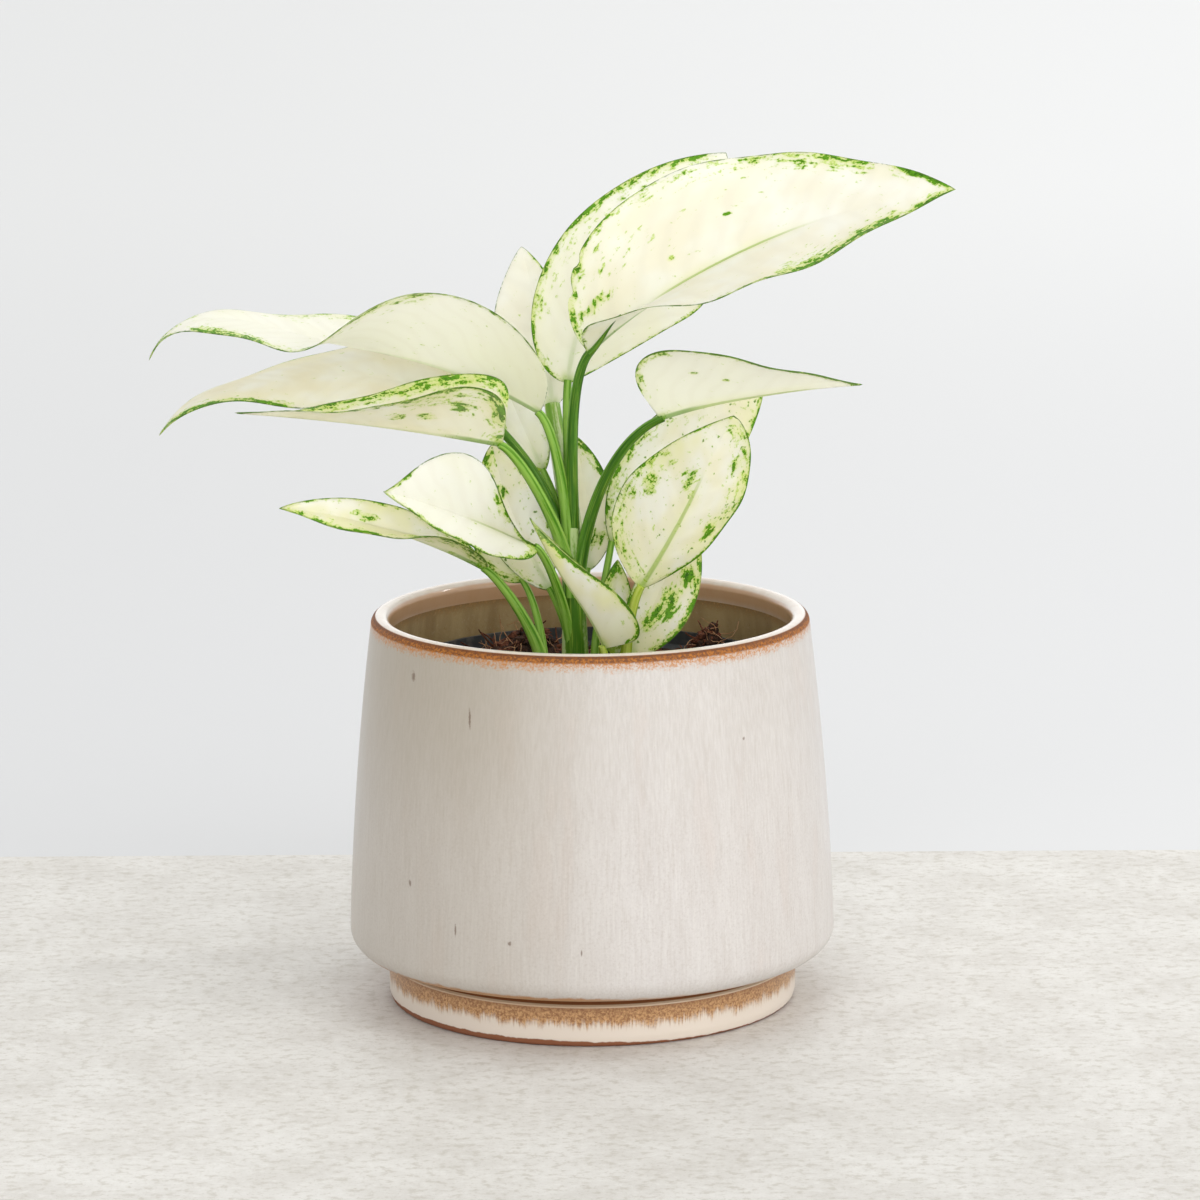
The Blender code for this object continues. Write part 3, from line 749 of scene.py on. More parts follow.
def leaf_finish(name, look):
    leaf = Finish(name, Specular_IOR_Level=0.15)
    places = leaf.add("ShaderNodeAttribute", dict(attribute_name="place"), output="Vector")
    u, across, face = leaf.split(places)
    lengths = leaf.add("ShaderNodeAttribute", dict(attribute_name="measure"), output="Vector")
    mm_along, mm_across, mm_margin = leaf.split(lengths)
    seed = SEED_STEP * look["seed"]
    out = abs(mm_across)
    on_left = across.step(-0.01, 0.01)

    def spots(length, width, shift, detail, rough):
        """Noise whose lumps are so many mm long and wide, other for every leaf and shift."""
        return leaf.grain(leaf.joined(mm_along / length, mm_across / width, seed + shift), 1, detail, rough)

    from_margin = mm_margin / DASH_WIDTH + seed * 3
    by_margin = leaf.joined(from_margin, mm_along / DASH_LENGTH, mm_across / DASH_LENGTH)
    dashes = leaf.grain(by_margin, 1, 2, 0.5)
    crumbs = spots(CRUMB_SIZE, CRUMB_SIZE, 20, 2, 0.6)
    speckle = dashes * 0.6 + crumbs * 0.4
    amount = patch_amount(look, mm_along, mm_across, band_amount(look, u, on_left, mm_margin))
    level = (speckle - 0.5) * 2.2 + 0.27 + amount.step(0, 0.06) * 0.16 + amount
    fleck = (level + amount * 0.25).step(*FLECK_EDGE)
    halo = level.step(*HALO_EDGE)

    if look["freckles"]:
        dots = spots(FRECKLE_SIZE, FRECKLE_SIZE, 40, 1, 0.5)
        dot_level = dots + (mm_margin / 12).step(1.0, 0.2) * look["freckles"] * 0.1
        fleck = fleck.larger(dot_level.step(0.76, 0.79) * 0.85)
        halo = halo.larger(dot_level.step(0.68, 0.77) * 0.8)

    clouds = spots(16, 12, 60, 2, 0.5)
    vein = mm_along - VEIN_SLANT * out + (clouds - 0.5) * 14
    fold_bands = (vein * (2 * math.pi / look["fold_spacing"])).sine()
    leaf.tone = leaf.mix(clouds.step(0.3, 0.7) * look["warm"], IVORY, WARM_IVORY)
    # Painted shade: darker cream bands along the soft folds, at the folds' spacing.
    leaf.layer(fold_bands.step(0.0, 1.0) * 0.15, FOLD_SHADE_CREAM)
    glow = ((mm_margin / 9).step(1.2, 0) * 0.7 + 0.3) * clouds.step(0.34, 0.58) * look["tint"] * 1.5
    leaf.layer(glow.larger(u.step(0.32, 0.0) * look["base_tint"]), LIME_TINT)
    wash = (amount + (clouds - 0.5) * 0.2 + (speckle - 0.5) * 0.3).step(0.06, 0.32)
    leaf.layer(wash * 0.7, LIME_WASH)
    leaf.layer(halo * 0.85, LIME)
    leaf.layer(fleck, leaf.mix(crumbs.step(0.32, 0.62), DEEP_GREEN, LEAF_GREEN))

    start, end, strength = look["rib"]
    rib_reach = u.step(start - 0.08, start + 0.02) * u.step(end + 0.05, end - 0.15) * strength
    rib = (out / (1.35 - u)).step(0.8, 0.45) * rib_reach
    rib_glow = (out / 4).step(1.0, 0.1) * rib_reach * 0.3
    stalk_end = (mm_along / 5).step(1.0, 0.2) * (out / 3).step(1.0, 0.4)
    leaf.layer(rib_glow, LIME_TINT)
    leaf.layer(rib.larger(stalk_end * 0.8), RIB_LIME)
    underside = face.step(0.5, -0.5)
    leaf.layer(underside * 0.10, UNDERSIDE_CREAM)
    keel = underside * (out / 1.5).step(1.0, 0.5) * u.step(0.26, 0.12)
    leaf.layer(keel, KEEL_GREEN)
    rim = (mm_margin + (crumbs - 0.5) * 0.7).step(look["rim"] + 0.1, look["rim"] - 0.08)
    leaf.layer(rim * (0.6 + dashes.step(0.4, 0.6) * 0.4), RIM_GREEN)
    leaf.colour(leaf.tone)

    leaf.raise_by(fold_bands * 0.15 + crumbs * 0.3, 0.00012, 0.6)
    leaf.roughness(clouds * 0.12 + 0.38)
    leaf.let_light_through((1 - fleck.larger(rim).larger(halo * 0.6)) * SHINE_SHARE, SHINE_THROUGH)
    return leaf.material


print("leaf finish ready")

# %% [markdown]
# ## How each leaf looks
# Each leaf gets its own values over the usual ones: the green bands along its left and right margin, each
# with its start and end along the leaf, its width in mm and its amount; freckles, tints, how far the lime
# midrib shows, waves, and blotches. A blotch is given by its place and size in mm, along and across the
# leaf. A painted image of each leaf could hold more, but these few values are quicker to change.

# %% Leaf looks
LOOKS = {
    "leaf_top": dict(
        wave=1.2, waves=4, fold=0.24, fold_spacing=9.5, cup=-0.8, rib=(0.26, 0.64, 1.0),
        tint=0.12, warm=0.6,
        left=((0.0, 0.16, 3.2, 0.27), (0.12, 0.34, 1.5, 0.30), (0.28, 0.62, 6.0, 0.15),
              (0.60, 0.80, 7.0, 0.20), (0.68, 0.80, 4.0, 0.34), (0.86, 1.0, 2.2, 0.48)),
        right=((0.0, 0.32, 1.0, 0.2), (0.45, 0.60, 1.8, 0.22), (0.58, 0.86, 5.6, 0.38),
               (0.88, 1.0, 2.8, 0.48)),
        notches=((0.075, 0.012, 0.10), (0.13, 0.010, 0.06)),
        patches=((12, 11, 8, 1.6, 0.24), (40, 9, 1.2, 0.8, 0.30), (62, 14, 1.2, 0.8, 0.32),
                 (26, 20, 16, 7, 0.05))),
    "leaf_top_back": dict(
        wave=0.8, tint=0.15, base_tint=0.1,
        left=((0.3, 0.95, 2.8, 0.33), (0.0, 0.35, 2.0, 0.27), (0.15, 0.8, 6.5, 0.14)),
        right=((0.0, 0.8, 0.9, 0.35),)),
    "leaf_spear": dict(
        wave=0.5, warm=0.5, tint=0.05, base_tint=0.1, rim=0.22,
        right=((0.72, 0.95, 1.0, 0.4),)),
    "leaf_upper_left": dict(
        wave=0.8, waves=4, fold=0.15, rib=(0.0, 0.45, 0.4), tint=0.12, base_tint=0.3, warm=0.0,
        left=((0.64, 0.86, 4.2, 0.36), (0.30, 0.64, 4.5, 0.20), (0.9, 1.0, 2.0, 0.4),
              (0.05, 0.3, 1.0, 0.2)),
        right=((0.84, 1.0, 2.0, 0.4), (0.0, 0.3, 4.5, 0.17), (0.3, 0.7, 6.0, 0.12))),
    "leaf_left_front": dict(
        wave=0.5, warm=0.8, rib=(0.0, 0.9, 0.35), rim=0.42,
        left=((0.0, 0.09, 6.0, 0.40), (0.08, 0.7, 2.8, 0.28), (0.05, 0.4, 9.0, 0.16)),
        right=((0.1, 0.85, 6.5, 0.31), (0.0, 0.14, 4.0, 0.34)),
        patches=((15, 14, 4.0, 3.2, 0.30), (26, 8, 3.0, 2.0, 0.28), (36, 7, 3.0, 2.0, 0.26))),
    "leaf_left_back": dict(
        wave=0.6, warm=0.9, tint=0.2,
        left=((0.55, 1.0, 2.6, 0.40), (0.0, 0.5, 0.8, 0.25)),
        right=((0.0, 0.12, 4.0, 0.28), (0.75, 1.0, 1.6, 0.35), (0.45, 0.62, 1.6, 0.16))),
    "leaf_low_left": dict(
        wave=0.5, warm=0.7, rib=(0.0, 0.5, 0.5), tint=0.5, base_tint=0.6,
        left=((0.55, 1.0, 1.6, 0.30), (0.0, 0.42, 5.0, 0.30)),
        right=((0.3, 1.0, 1.3, 0.22), (0.0, 0.35, 4.0, 0.27)),
        patches=((45, -2, 4.0, 1.6, 0.30),)),
    "leaf_front_left": dict(
        warm=0.0, tint=0.08, base_tint=0.15, rib=(0.12, 0.48, 0.55),
        left=((0.0, 0.8, 1.0, 0.35), (0.0, 0.1, 3.0, 0.4), (0.82, 1.0, 1.4, 0.3)),
        right=((0.26, 0.40, 3.4, 0.28), (0.86, 1.0, 1.6, 0.3), (0.0, 0.2, 1.6, 0.3))),
    "leaf_inner_left": dict(
        wave=0.4, warm=1.0, tint=0.3, rib=(0.0, 0.3, 0.4), freckles=0.5,
        left=((0.5, 0.96, 4.4, 0.36), (0.1, 0.5, 2.4, 0.20)),
        right=((0.3, 0.9, 1.6, 0.22),),
        patches=((37, 1.0, 2.2, 1.8, 0.42),)),
    "leaf_upper_right": dict(
        wave=0.5, rib=(0.0, 0.8, 0.9), tint=0.08, base_tint=0.1, warm=0.0,
        right=((0.32, 1.0, 1.1, 0.5), (0.0, 0.22, 2.8, 0.24), (0.0, 0.3, 0.9, 0.4)),
        patches=((18, -14, 1.3, 0.9, 0.34), (26, -9, 1.2, 0.8, 0.32))),
    "leaf_right_back": dict(
        warm=0.9, tint=0.4, freckles=0.6,
        left=((0.1, 0.75, 5.0, 0.24), (0.75, 1.0, 1.6, 0.3)),
        right=((0.55, 1.0, 1.8, 0.36),)),
    "leaf_front_right": dict(
        wave=0.6, rib=(0.0, 0.66, 1.0), tint=0.5, base_tint=0.3, warm=0.8, ridge=0.7, freckles=0.5,
        left=((0.30, 0.66, 7.5, 0.16), (0.05, 0.34, 8.0, 0.15), (0.05, 1.0, 0.9, 0.3)),
        right=((0.42, 0.95, 6.0, 0.19), (0.1, 0.95, 1.2, 0.45)),
        patches=((33, 15, 4.5, 3.0, 0.34), (42, 3, 5.0, 2.4, 0.26), (27, -11, 4.5, 2.0, 0.34),
                 (52, -9, 4.5, 3.0, 0.28))),
    "leaf_low_right": dict(
        wave=0.4, waves=2, warm=0.8, tint=0.5, freckles=0.8,
        left=((0.1, 0.9, 1.8, 0.26),),
        right=((0.1, 0.95, 2.4, 0.40),),
        patches=((21, -4.5, 5.5, 3.0, 0.42), (31, -7.0, 3.4, 2.6, 0.42), (13, -1.0, 3.4, 2.4, 0.36),
                 (17, -2.5, 4.0, 2.4, 0.36))),
    "leaf_young_front": dict(
        wave=0.3, waves=2, rib=(0.0, 1.0, 0.8), warm=0.9, tint=0.6, base_tint=0.5, rim=0.5,
        left=((0.0, 1.0, 1.2, 0.2),),
        right=((0.05, 0.95, 1.6, 0.45), (0.84, 1.0, 3.0, 0.30), (0.0, 0.1, 1.6, 0.3))),
    "leaf_young_back": dict(
        wave=0.3, waves=2, rib=(0.0, 0.4, 0.5), tint=0.5,
        left=((0.0, 1.0, 4.0, 0.30),),
        right=((0.0, 1.0, 3.0, 0.26),)),
    "leaf_small_left": dict(
        wave=0.3, waves=2, rib=(0.0, 0.4, 0.5), tint=0.5,
        left=((0.0, 1.0, 3.6, 0.32),),
        right=((0.0, 1.0, 3.6, 0.32),)),
    "leaf_inner_right": dict(
        wave=0.3, waves=2, warm=1.0,
        left=((0.4, 0.97, 1.4, 0.26),),
        right=((0.3, 0.97, 2.6, 0.36),),
        patches=((11, -1.0, 3.0, 4.0, 0.40),)),
    "leaf_inner_upper": dict(
        wave=0.3, waves=2, rib=(0.0, 0.3, 0.3), warm=0.5,
        left=((0.0, 0.95, 2.2, 0.28),),
        right=((0.0, 0.95, 1.6, 0.24),)),
}

for seed, (name, leaf) in enumerate(BLADES.items(), start=1):
    look = dict(USUAL_LOOK, seed=seed, **LOOKS[name])
    mesh = leaf_mesh(name + "_blade", leaf, look)
    blade = put(name + "_blade", mesh, leaf_finish(name + "_colours", look))
    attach(blade, "root")
    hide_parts(name)
print(len(BLADES), "leaves made")

# %% [markdown]
# ## Stalks
# Every leaf hangs on a round stalk that starts upright in the clump and bends into the leaf's line. A
# curve with a bevel would do, but the stalks also need streaks that follow them and a shallow channel on
# one side, so each is a tube made of rings round its route, which knows how far along each point is. The
# values are the solid's own, but for the stalk of leaf_spear: it is thicker here, because in the middle of
# the clump it is the pale sheath that young leaves come out of.

# %% Stalk values and route
SHOOTS = {
    "shoot_main": [
        dict(foot=(-5, 0, 108), top=(-6, -1, 158), radii=(4.7, 2.8)),
        dict(foot=(-5, -1, 136), leaf="leaf_top", radii=(2.4, 1.4), reach=(0.9, 0.5)),
        dict(foot=(-6, 1, 148), leaf="leaf_top_back", radii=(2.0, 1.3)),
        dict(foot=(-5, 1, 140), leaf="leaf_spear", radii=(4.0, 2.6)),
        dict(foot=(-7, -2, 147), leaf="leaf_upper_left", radii=(2.2, 1.3), reach=(1.2, 0.4)),
        dict(foot=(-8, 0, 147), leaf="leaf_left_back", radii=(2.0, 1.2)),
        dict(foot=(-6, -3, 135), leaf="leaf_left_front", radii=(2.4, 1.3), reach=(1.0, 0.3)),
        dict(foot=(-4, -2, 134), leaf="leaf_upper_right", radii=(2.4, 1.3), reach=(0.9, 0.9)),
        dict(foot=(-6, -1, 110), leaf="leaf_front_left", radii=(2.0, 1.2), reach=(1.2, 0.3)),
        dict(foot=(-6, 0, 112), leaf="leaf_inner_left", radii=(1.6, 1.1)),
        dict(foot=(-9, 1, 155), leaf="leaf_inner_upper", radii=(1.5, 1.1)),
        dict(foot=(-4, 2, 120), leaf="leaf_inner_right", radii=(1.6, 1.1)),
    ],
    "shoot_left": [
        dict(foot=(-15, -10, 108), leaf="leaf_low_left", radii=(2.4, 1.2), reach=(1.0, 0.5)),
        dict(foot=(-15, -9, 110), leaf="leaf_small_left", radii=(1.6, 1.0)),
    ],
    "shoot_right": [
        dict(foot=(11, -20, 108), leaf="leaf_front_right", radii=(2.2, 1.3)),
        dict(foot=(11, -20, 109), leaf="leaf_low_right", radii=(1.6, 1.1)),
    ],
    "shoot_inner": [dict(foot=(1, -5, 108), leaf="leaf_right_back", radii=(1.5, 1.1))],
    "shoot_young_front": [dict(foot=(6, -28, 108), leaf="leaf_young_front", radii=(1.9, 1.2))],
    "shoot_young_back": [dict(foot=(8, -9, 108), leaf="leaf_young_back", radii=(1.4, 1.0))],
}
USUAL_REACH = (1.0, 0.6)
STALK_OVERLAP = 1.2
ROOT_LENGTH = 10.0
STALK_RINGS = 40
STALK_SIDES = 18
STALK_CHANNEL = 0.10
CHANNEL_AT = 1.6
CHANNEL_WIDTH = 0.5


def stalk_route(stalk):
    """Points of a stalk, in mm: a cubic from its upright foot into its blade, or to its top."""
    start = np.array(stalk["foot"], float)
    upright = np.array((0.0, 0.0, 1.0))
    if "leaf" in stalk:
        leaf = BLADES[stalk["leaf"]]
        last = heading(leaf, np.zeros(1))[0]
        end = np.array(leaf["base"], float) + STALK_OVERLAP * last
    else:
        last = upright
        end = np.array(stalk["top"], float)
    first_reach, last_reach = stalk.get("reach", USUAL_REACH)
    span = np.linalg.norm(end - start)
    t = np.linspace(0.0, 1.0, STALK_RINGS + 1)[:, None]
    bend = (t**3 - 2 * t**2 + t) * upright * span * first_reach + (t**3 - t**2) * last * span * last_reach
    return (2 * t**3 - 3 * t**2 + 1) * start + (3 * t**2 - 2 * t**3) * end + bend


def rings(route, radii, sides, channel=0.0):
    """Rings of points round a route, whose frame is carried along without twisting."""
    along = np.gradient(route, axis=0)
    along /= np.linalg.norm(along, axis=1)[:, None]
    outward = np.array((1.0, 0.0, 0.0)) - along[0] * along[0][0]
    angles = np.linspace(-math.pi, math.pi, sides, endpoint=False)
    from_channel = np.angle(np.exp(1j * (angles - CHANNEL_AT)))
    dip = 1 - channel * np.exp(-((from_channel / CHANNEL_WIDTH) ** 2))
    result = []
    for point, forward, radius in zip(route, along, radii):
        outward = outward - forward * outward.dot(forward)
        outward /= np.linalg.norm(outward)
        third = np.cross(forward, outward)
        around = np.cos(angles)[:, None] * outward + np.sin(angles)[:, None] * third
        result.append(point + around * (radius * dip)[:, None])
    return np.array(result), angles


def tube_into(parts, route, radii, sides, slot, channel=0.0):
    """Adds a closed tube to parts, the running lists of points, faces, notes and slots."""
    loops, angles = rings(route, radii, sides, channel)
    first = len(parts["points"])
    last = first + (len(route) - 1) * sides
    lengths = np.concatenate([[0], np.cumsum(np.linalg.norm(np.diff(route, axis=0), axis=1))])
    for loop, length in zip(loops, lengths):
        parts["points"] += list(loop)
        parts["notes"] += [(length, angle, 0.0) for angle in angles]
    ends = [tuple(reversed(range(first, first + sides))), tuple(range(last, last + sides))]
    faces = ring_faces([sides] * len(route), first) + ends
    parts["faces"] += faces
    parts["slots"] += [slot] * len(faces)


def empty_parts():
    return dict(points=[], faces=[], notes=[], slots=[])


def parts_mesh(name, parts):
    mesh = mesh_of(name, parts["points"], parts["faces"], parts["slots"], sharp=60)
    note(mesh, "measure", parts["notes"])
    return mesh


print(sum(len(stalks) for stalks in SHOOTS.values()), "stalks in", len(SHOOTS), "shoots")

# %% [markdown]
# ## The stalks' colours
# Young stalks are a clear apple green with darker, finer streaks along them; the old central ones are pale
# with a whitish bloom. The streaks are noise that is squeezed round the stalk and stretched along it.

# %% Stalk finish
QUARTER_TURN = 1.5708
STREAK_LIME = paint(190, 216, 84)
BLOOM = paint(214, 224, 180)


def stalk_finish(name, dark, light, pale, seed):
    """pale is how much of the whitish bloom shows."""
    skin = Finish(name, Specular_IOR_Level=0.22)
    lengths = skin.add("ShaderNodeAttribute", dict(attribute_name="measure"), output="Vector")
    mm_along, angle, _ = skin.split(lengths)

    def drawn(fineness, length, rough):
        """Noise that runs on round the stalk and is drawn out along it."""
        round_it = [(angle + turn).sine() * fineness for turn in (0.0, QUARTER_TURN)]
        return skin.grain(skin.joined(*round_it, mm_along / length + seed), 1, 2, rough)

    streaks = drawn(1.3, 40, 0.5)
    fine = drawn(7, 14, 0.5)
    flecks = drawn(5, 1.6, 0.6)
    skin.tone = skin.mix(streaks.step(0.34, 0.66), dark, light)
    skin.layer((fine - 0.5).step(0.03, 0.2) * 0.3, STREAK_LIME)
    bloom = (streaks + (flecks - 0.5) * 0.25).step(0.44, 0.60) * pale
    skin.layer(bloom, BLOOM)
    skin.colour(skin.tone)
    skin.roughness(0.36 + fine * 0.16)
    skin.raise_by(fine, 0.0001, 0.5)
    return skin.material


APPLE = (paint(60, 116, 10), paint(122, 172, 36))
DARK_APPLE = (paint(44, 90, 10), paint(86, 138, 24))
YELLOW_LIME = (paint(136, 162, 36), paint(186, 202, 74))
STALK_FINISHES = [
    stalk_finish("stalk_apple_green", *APPLE, 0.12, 3),
    stalk_finish("stalk_dark_green", *DARK_APPLE, 0.05, 9),
    stalk_finish("stalk_yellow_lime", *YELLOW_LIME, 0.12, 14),
    stalk_finish("stalk_pale", paint(112, 158, 56), paint(176, 202, 110), 0.95, 21),
    stalk_finish("stalk_old", paint(66, 112, 20), paint(128, 168, 54), 0.5, 27),
]
USUAL_TONE = 0
OLD_TONE = 4
STALK_TONES = {
    "leaf_top": 1, "leaf_upper_right": 1, "leaf_left_back": 1,
    "leaf_front_right": 2, "leaf_young_front": 2, "leaf_spear": 3,
}
KEEL_POINTS = 14
KEEL_REACH = 0.17
KEEL_SHARE = 0.55
KEEL_RADII = (1.25, 0.25)
KEEL_SHIFT = (0.0, -0.5, -0.1)


def keel_route(leaf, side):
    """A line on the underside of a folded half, where the thick base of the midrib shows."""
    u = np.linspace(0.002, KEEL_REACH, KEEL_POINTS)
    places = half_blade(leaf, side, u, np.linspace(0.0, KEEL_SHARE, KEEL_POINTS))
    return np.array([places[i, i] for i in range(KEEL_POINTS)]) + np.array(KEEL_SHIFT)


for name, stalks in SHOOTS.items():
    parts = empty_parts()
    for i, stalk in enumerate(stalks):
        route = stalk_route(stalk)
        if i == 0:
            route = np.vstack([route[0] - np.array((0.0, 0.0, ROOT_LENGTH)), route])
        radii = np.linspace(*stalk["radii"], len(route))
        tone = STALK_TONES.get(stalk["leaf"], USUAL_TONE) if "leaf" in stalk else OLD_TONE
        tube_into(parts, route, radii, STALK_SIDES, tone, STALK_CHANNEL)
        if stalk.get("leaf") == "leaf_top":
            keel = keel_route(BLADES["leaf_top"], "right")
            tube_into(parts, keel, np.linspace(*KEEL_RADII, KEEL_POINTS), STALK_SIDES, tone)
    bunch = put(name + "_stalks", parts_mesh(name + "_stalks", parts), *STALK_FINISHES)
    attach(bunch, "root")
    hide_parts(name)
print("stalks made")

# %% [markdown]
# ## The stoneware pot
# A thrown pot is round about its axis, so its half profile is drawn once and turned. Blender's Screw
# modifier does that; here the rings are made directly, because the outside, the inside and the bare clay
# underneath take different finishes, and because a hand-thrown pot isn't perfectly even: a slow wobble of
# a tenth of a millimetre keeps the long reflections from looking machined.

# %% Pot profile
POT_HEIGHT = 129.5
LIP_RADIUS = 3.1
LIP_OUTER = 72.2
BELLY_OUTER = 80.4
BELLY_BOTTOM = 26.0
BELLY_BULGE = 1.1
BODY_UNDERSIDE = 17.2
BODY_ROUNDING = 7.4
WALL = 6.2
FLOOR = 9.0
FOOT_INSIDE = 60.4
FOOT_CORNER = 6.0
LEDGE_HEIGHT = 23.0
LEDGE_ROUNDING = 4.0
INSIDE_CORNER = 8.0
FOOT_RADIUS = 67.7
FOOT_NECK = 66.6
FOOT_TOP = 14.2
FOOT_ROUNDING = 2.0
POT_SIDES = 200
WOBBLE = 0.10
OUTSIDE, INSIDE, BARE = 0, 1, 2


def wall_radius(z):
    """Outside radius of the wall between its belly and its lip."""
    t = (z - BELLY_BOTTOM) / (POT_HEIGHT - LIP_RADIUS - BELLY_BOTTOM)
    return BELLY_OUTER + (LIP_OUTER - BELLY_OUTER) * t + 4 * BELLY_BULGE * t * (1 - t)


def arc(centre, radius, start, end, steps):
    angles = np.radians(np.linspace(start, end, steps + 1))
    return [(centre[0] + radius * math.cos(a), centre[1] + radius * math.sin(a)) for a in angles]


def pot_profile():
    """Radius, height and finish, from the middle of the floor, over the lip, to below the foot."""
    top = POT_HEIGHT - LIP_RADIUS
    heights = np.linspace(BELLY_BOTTOM, top, 25)
    corner_top = LEDGE_HEIGHT + INSIDE_CORNER
    inside = [(0.0, FLOOR)] + arc((FOOT_INSIDE - FOOT_CORNER, FLOOR + FOOT_CORNER), FOOT_CORNER, -90, 0, 6)
    inside += arc((FOOT_INSIDE + LEDGE_ROUNDING, LEDGE_HEIGHT - LEDGE_ROUNDING), LEDGE_ROUNDING, 180, 90, 6)
    inside += arc((wall_radius(corner_top) - WALL - INSIDE_CORNER, corner_top), INSIDE_CORNER, -90, 0, 8)
    inside += [(wall_radius(z) - WALL, z) for z in heights[1:-1] if z > corner_top + 1.0]
    lip = arc((LIP_OUTER - LIP_RADIUS, top), LIP_RADIUS, 180, 0, 18)
    outside = [(wall_radius(z), z) for z in heights[-2:0:-1]]
    outside += arc((BELLY_OUTER - BODY_ROUNDING, BODY_UNDERSIDE + BODY_ROUNDING), BODY_ROUNDING, 0, -84, 14)
    groove = arc((FOOT_NECK + 0.5, BODY_UNDERSIDE - 1.3), 1.2, 90, 250, 8)
    shoulder = arc((FOOT_RADIUS - 0.5, FOOT_TOP - 0.9), 0.5, 80, 0, 4)
    foot = [(FOOT_RADIUS - 0.1 * i / 8, FOOT_TOP - 1.6 - 9.8 * i / 8) for i in range(9)]
    foot += arc((FOOT_RADIUS - 0.4 - FOOT_ROUNDING, FOOT_ROUNDING), FOOT_ROUNDING, 0, -90, 6)
    underneath = [(FOOT_RADIUS - 8.0, 0.0), (0.0, 0.0)]
    zones = ((INSIDE, inside), (OUTSIDE, lip + outside + groove + shoulder + foot), (BARE, underneath))
    return [(r, z, slot) for slot, zone in zones for r, z in zone]


def turned_mesh(name, profile):
    """Turns (radius, height, slot) points about the Z axis. Points on the axis become one point."""
    points, counts, slots = [], [], []
    angles = np.linspace(0, 2 * math.pi, POT_SIDES, endpoint=False)
    for r, z, slot in profile:
        uneven = WOBBLE * (np.sin(2 * angles + 0.7) + 0.5 * np.sin(3 * angles + z / 22)) / 1.5
        ring = [((r + d) * math.cos(a), (r + d) * math.sin(a), z) for a, d in zip(angles, uneven)]
        if r == 0.0:
            ring = [(0.0, 0.0, z)]
        points += ring
        counts.append(len(ring))
        slots += [slot] * POT_SIDES
    return mesh_of(name, points, ring_faces(counts), slots[POT_SIDES:], sharp=50, outward=True)


print("pot profile of", len(pot_profile()), "points")

# %% [markdown]
# ## The glaze
# Thick cream glaze runs down the pot in the kiln. Where it is thin, on the edge under the lip, at the
# bottom of the body and at the top of the foot, the iron in the clay burns through amber and brown. On the
# body it is greige with fine vertical streaks and dark pinholes. So the height on the pot, made uneven by
# noise, chooses the colour. The few dark marks, where specks of iron melted, have listed places and
# sizes in mm. Inside, the same glaze is thinner and olive brown. A glossy clear layer of glass lies over
# the colours, strongest on the lip, which is what a coat on the shader is for.

# %% Glaze finish
CREAM = paint(209, 204, 200)
GREIGE = paint(196, 189, 184)
STREAKS = (paint(176, 164, 152), paint(222, 218, 211))
MOTTLES = (paint(170, 158, 146), paint(224, 220, 214))
UPPER_GREY = paint(184, 177, 168)
UPPER_PALE = paint(236, 232, 224)
BLUSH = paint(222, 198, 184)
# LEFT_SHADE_OLIVE is painted shade for the pot's left side.
LEFT_SHADE_OLIVE = paint(158, 146, 124)
PINHOLE = paint(82, 72, 60)
IRON = paint(92, 60, 34)
FRINGE_AMBER = paint(186, 122, 58)
AMBER = (paint(108, 58, 14), paint(176, 108, 38))
DARK_AMBER = paint(84, 38, 10)
LIP = (paint(210, 198, 186), paint(196, 174, 154))
INNER_AMBER = paint(186, 134, 82)
HEM_AMBER = paint(176, 128, 82)
BROWN = paint(132, 84, 50)
EDGE_CREAM = paint(218, 196, 166)
GOLD = (paint(138, 88, 44), paint(200, 154, 100))
DARK_GOLD = paint(128, 76, 36)
FOOT_CREAM = paint(222, 210, 196)
BARE_EDGE = paint(138, 86, 58)
# Heights in mm from which, and to which, a mark on the pot fades in.
UPPER_PART = (55, 126)
FRINGE = (123.6, 126.8)
RING = (126.5, 127.2)
RING_TOP = (128.0, 128.6)
HEM = (18.6, 17.6)
GROOVE_TOP = (17.5, 17.1)
GROOVE_BOTTOM = (13.7, 14.2)
FOOT_EDGE = (14.3, 14.0)
FOOT_EDGE_BOTTOM = (13.0, 13.3)
FOOT_FACE = (13.4, 13.1)
GOLD_BAND = (6.0, 9.5)
BARE_CLAY = (1.2, 0.8)
# Each dark mark has its place across and up the front, and its width and height.
GLAZE_MARKS = (
    (-56.8, 117.8, 0.6, 1.8), (-38.5, 107.5, 0.4, 3.4), (-26.3, 36.9, 0.7, 0.8), (-43.7, 39.1, 0.35, 2.2),
    (-3.4, 34.8, 0.3, 1.2), (-58.5, 51.3, 0.45, 1.2), (48.7, 99.3, 0.45, 0.6), (2.4, 10.6, 1.3, 1.0),
)


